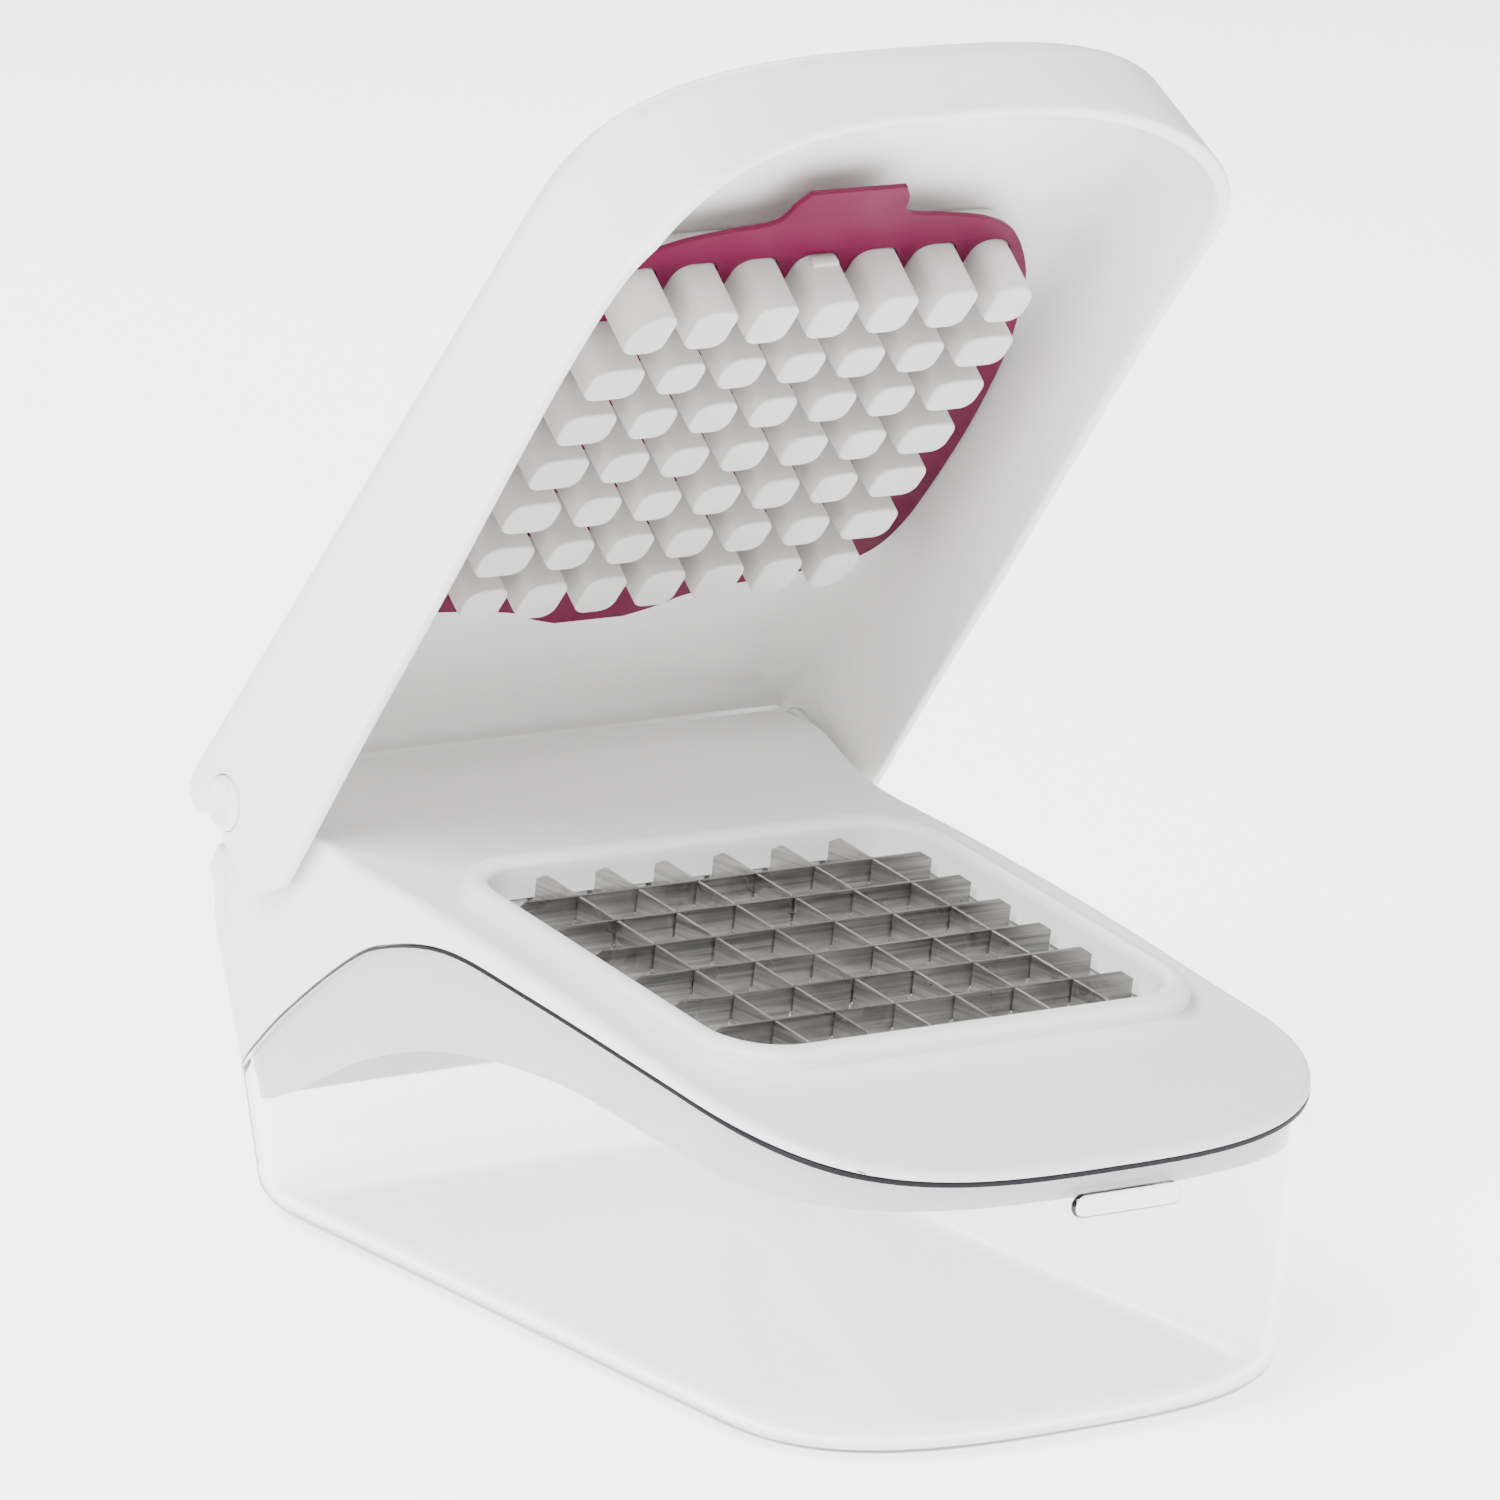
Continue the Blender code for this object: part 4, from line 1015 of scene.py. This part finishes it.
def lid_side_rings(inset, rear, lip):
    """Rings of one face of the lid, from just above the rim up and over to the middle."""
    shoulder = LID_SHOULDER - inset
    top = LID_TOP - inset
    start = top - shoulder
    rings = []
    for k in range(LID_WALL_STEPS + 1):
        share = k / LID_WALL_STEPS
        rings.append(lid_ring(
            inset, rear, lambda p: rim_height(p) + lip + (start - rim_height(p) - lip) * share))
    for k in range(1, LID_SHOULDER_STEPS + 1):
        angle = math.radians(90 * k / LID_SHOULDER_STEPS)
        drawn_in = shoulder * (1 - math.cos(angle))
        height = start + shoulder * math.sin(angle)
        rings.append(lid_ring(inset + drawn_in, rear - drawn_in, lambda p: height))
    return rings + shrunk_rings(rings[-1], Vector((0, LID_MIDDLE, top)), LID_TOP_SHARES)


def lid_piece(material):
    outer = lid_side_rings(0.0, LID_REAR, LID_RIM_EASE)
    inner = lid_side_rings(LID_WALL, LID_REAR - LID_REAR_WALL, LID_RIM_EASE)
    eased = eased_edge(LID_RIM_EASE, (30, 60, 90))
    edge = eased + [(LID_WALL - inset, rise) for inset, rise in reversed(eased)]
    rim = []
    for inset, rise in edge:
        rear = LID_REAR - (LID_REAR_WALL * inset / LID_WALL)
        rim.append(lid_ring(inset, rear, lambda p: rim_height(p) + rise))
    bm = bmesh.new()
    rings = list(reversed(outer)) + rim + inner
    add_rings(bm, [[LID @ (p * CELL) for p in ring] for ring in rings])
    piece = make("lid_shell_moulding", bm, material, 50.0)
    cut_lid_rear(piece)
    return piece


def cut_lid_rear(piece):
    """Opens the lid's rear for the hump, and cuts the hooked ends and the ear holes."""
    half = (LID_HALF - LID_WALL) * CELL
    top = LID_REAR_WALL_BOTTOM * CELL
    below = -2.2 * CELL
    corner = DOOR_CORNER * MM
    door = [(-half, below), (half, below), *arc((half - corner, top - corner), corner, 0, 90, 5),
            *arc((-half + corner, top - corner), corner, 90, 180, 5)]
    bm = bmesh.new()
    prism(bm, door, 1.1 * CELL, LID @ Matrix.Translation((0, 8.3 * CELL, 0)) @ FRONT_PLANE)
    subtract(piece, bm, "rear_door", 50.0)
    bm = bmesh.new()
    prism(bm, [(u * CELL, v * CELL) for u, v in HOOK_LINE], 8 * CELL, LID @ SIDE_PLANE)
    subtract(piece, bm, "rear_hook", 50.0)
    bm = bmesh.new()
    circle = arc((0, 0), EAR_HOLE_RADIUS * MM, 0, 352.5, 47)
    prism(bm, circle, 90 * MM, Matrix.Translation(HINGE) @ SIDE_PLANE)
    subtract(piece, bm, "ear_holes", 50.0)


def post_outline(i, j, grow, steps):
    """Outline of one post; the outer columns are wider and the corner posts rounder outside."""
    corner = abs(i) == abs(j) == POST_LINES[-1]
    outward = 0.0 if corner else POST_OUTWARD
    left = i - POST_HALF_ACROSS - (outward if i == POST_LINES[0] else 0.0)
    right = i + POST_HALF_ACROSS + (outward if i == POST_LINES[-1] else 0.0)
    front = j - POST_HALF_FRONT - (POST_OUTWARD_FRONT if j == POST_LINES[0] else 0.0)
    rear = j + POST_HALF + (POST_OUTWARD_REAR if j == POST_LINES[-1] else 0.0)
    points = []
    for across, along, start in ((1, 1, 0), (-1, 1, 90), (-1, -1, 180), (1, -1, 270)):
        outside = across * i == along * j == POST_LINES[-1]
        radius = (CORNER_POST_RADIUS if outside else POST_CORNER) + grow
        x = right + grow - radius if across > 0 else left - grow + radius
        y = rear + grow - radius if along > 0 else front - grow + radius
        points += arc((x, y), max(radius, 0.01), start, start + 90, steps)
    return points


def lid_rings_of(outline_at, levels):
    """Rings of an outline in the lid, at each level's height and growth."""
    return [[LID @ (Vector((x, y, n)) * CELL) for x, y in outline_at(grow)] for n, grow in levels]


def pusher_piece(material):
    crown = POST_TIP + POST_TIP_CROWN
    levels = [(POST_TIP, -0.19), (POST_TIP + 0.004, -0.12), (crown, -POST_TIP_EASE)]
    levels += [(crown + up, -inward) for up, inward in eased_edge(POST_TIP_EASE, range(18, 91, 18))]
    levels += [(PLATE_BOTTOM + 0.05, 0.012)]
    bm = bmesh.new()
    for i in POST_LINES:
        for j in POST_LINES:
            add_rings(bm, lid_rings_of(lambda grow: post_outline(i, j, grow, 6), levels))
    add_rings(bm, lid_rings_of(plate_outline, [
        (PLATE_BOTTOM, -0.02), (PLATE_BOTTOM + 0.02, 0.0), (PLATE_TOP - 0.02, 0.0), (PLATE_TOP, -0.02)]))
    add_rings(bm, lid_rings_of(catch_outline, [
        (0.6, -0.03), (0.61, -0.01), (0.63, 0.0), (0.74, 0.0), (0.76, -0.01), (0.77, -0.03)]))
    return make("pusher_posts", bm, material, 50.0)


def plate_outline(grow):
    half = PLATE_HALF + grow
    return rounded_rectangle(-half, half, -half, half, PLATE_CORNER, 6)


def catch_outline(grow):
    half = CATCH_HALF + grow
    return rounded_rectangle(-half, half, CATCH_FRONT - grow, CATCH_REAR, CATCH_CORNER, 3)


def comb_piece(material):
    """The comb's plate, with a square hole round each post and eased edges."""
    ease = COMB_EASE_MM * MM
    right = smooth_line(COMB_HALF_OUTLINE, 8)
    outline = right + [(-x, y) for x, y in reversed(right)]
    curve = bpy.data.curves.new("comb_outline", "CURVE")
    curve.dimensions = "2D"
    curve.fill_mode = "BOTH"
    curve.extrude = (COMB_TOP - COMB_BOTTOM) / 2 * CELL - ease
    curve.bevel_depth = ease
    curve.bevel_resolution = 2
    curve.offset = -ease
    outlines = [outline]
    for i in POST_LINES:
        for j in POST_LINES:
            outlines.append(list(reversed(post_outline(i, j, COMB_CLEARANCE, 5))))
    for points in outlines:
        spline = curve.splines.new("POLY")
        spline.points.add(len(points) - 1)
        for point, (u, v) in zip(spline.points, points):
            point.co = (u * CELL, v * CELL, 0, 1)
        spline.use_cyclic_u = True
    drawn = bpy.data.objects.new("comb_outline", curve)
    bpy.context.scene.collection.objects.link(drawn)
    depsgraph = bpy.context.evaluated_depsgraph_get()
    mesh = bpy.data.meshes.new_from_object(drawn.evaluated_get(depsgraph))
    bpy.data.objects.remove(drawn)
    bm = bmesh.new()
    bm.from_mesh(mesh)
    level = Matrix.Translation((0, 0, (COMB_TOP + COMB_BOTTOM) / 2 * CELL))
    return make("comb_plate", bm, material, 50.0, LID @ level)


# ------------------------------------------------------------------ the whole object

def place_pieces(materials):
    container = container_piece(materials["clear"])
    lip = painted_shade_lip_piece(materials["lip"])
    boss = finger_boss_piece(materials["clear"])
    head = head_piece(materials["white"])
    lid = lid_piece(materials["white"])
    pusher = pusher_piece(materials["post"])
    comb = comb_piece(materials["magenta"])
    for piece, body, slot, node in (
        (container, "base", "clear_plastic", "container"),
        (lip, "base", "clear_plastic", None),
        (boss, "base", "clear_plastic", None),
        (head, "head", "white_plastic", "cutting_head"),
        (lid, "lid", "white_plastic", "lid_shell"),
        (pusher, "lid", "post_plastic", "pusher_block"),
        (comb, "lid", "magenta_plastic", "cleaning_comb"),
    ):
        settle(piece, body, node)
    for side, word in ((-1, "left"), (1, "right")):
        pin = pin_piece(side, f"pivot_button_{word}", materials["white"])
        settle(pin, "head", f"pivot_pin_{word}")


def settle(piece, body, node):
    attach(piece, body)
    if node:
        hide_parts(node)


# ------------------------------------------------------------------ floor, light and camera

FLOOR_SIZE = 12.0
FLOOR_BELOW = 0.0002
CAMERA_FROM_GRID = Vector((-0.8567, -1.2356, 0.3838))
CAMERA_AZIMUTH = math.radians(-34.22)
CAMERA_ELEVATION = math.radians(13.183)
CAMERA_ROLL = math.radians(2.04)
CAMERA_LENS = 222.3


def floor_material():
    """Pale studio floor that glows a little, so that it stays nearly white."""
    n = Nodes("pale_floor")
    n.link(n.mix(n.ramp(n.noise(4.0, 3.0), 0.0, 1.0), (0.86, 0.86, 0.86), (0.88, 0.88, 0.88)),
           n.shader.inputs["Base Color"])
    n.set(Roughness=0.6, Emission_Color=(1.0, 1.0, 1.0, 1.0), Emission_Strength=3.0)
    return n.material


def make_stage():
    bm = bmesh.new()
    bmesh.ops.create_grid(bm, x_segments=1, y_segments=1, size=FLOOR_SIZE)
    floor = make("floor", bm, floor_material())
    floor.location.z = CAD_BOX[0].z - FLOOR_BELOW


def area_light(name, place, target, size, power):
    """A rectangular lamp that faces the target."""
    light = bpy.data.lights.new(name, "AREA")
    light.shape = "RECTANGLE"
    light.size, light.size_y = size
    light.energy = power
    lamp = bpy.data.objects.new(name, light)
    lamp.location = place
    lamp.rotation_euler = (Vector(target) - Vector(place)).to_track_quat("-Z", "Y").to_euler()
    bpy.context.scene.collection.objects.link(lamp)


def make_light():
    world = bpy.data.worlds.new("studio")
    bpy.context.scene.world = world
    world.use_nodes = True
    background = world.node_tree.nodes["Background"]
    background.inputs["Color"].default_value = (1.0, 1.0, 1.0, 1)
    background.inputs["Strength"].default_value = 0.7
    target = (0, 0, 0.08)
    area_light("key", (-0.9, -0.5, 1.1), target, (0.9, 0.9), 50)
    area_light("fill", (1.0, -1.0, 0.7), target, (0.8, 0.8), 5)
    area_light("back", (0.3, 1.2, 0.9), target, (1.0, 0.5), 14)


def make_camera():
    data = bpy.data.cameras.new("camera")
    data.sensor_width = 36.0
    data.lens = CAMERA_LENS
    camera = bpy.data.objects.new("camera", data)
    turn = (Matrix.Rotation(CAMERA_AZIMUTH, 4, "Z")
            @ Matrix.Rotation(math.pi / 2 - CAMERA_ELEVATION, 4, "X")
            @ Matrix.Rotation(CAMERA_ROLL, 4, "Z"))
    camera.matrix_world = Matrix.Translation(GRID + CAMERA_FROM_GRID) @ turn
    bpy.context.scene.collection.objects.link(camera)
    bpy.context.scene.camera = camera


MATERIALS = make_materials()
place_pieces(MATERIALS)
dress_cad(MATERIALS)
make_stage()
make_light()
make_camera()
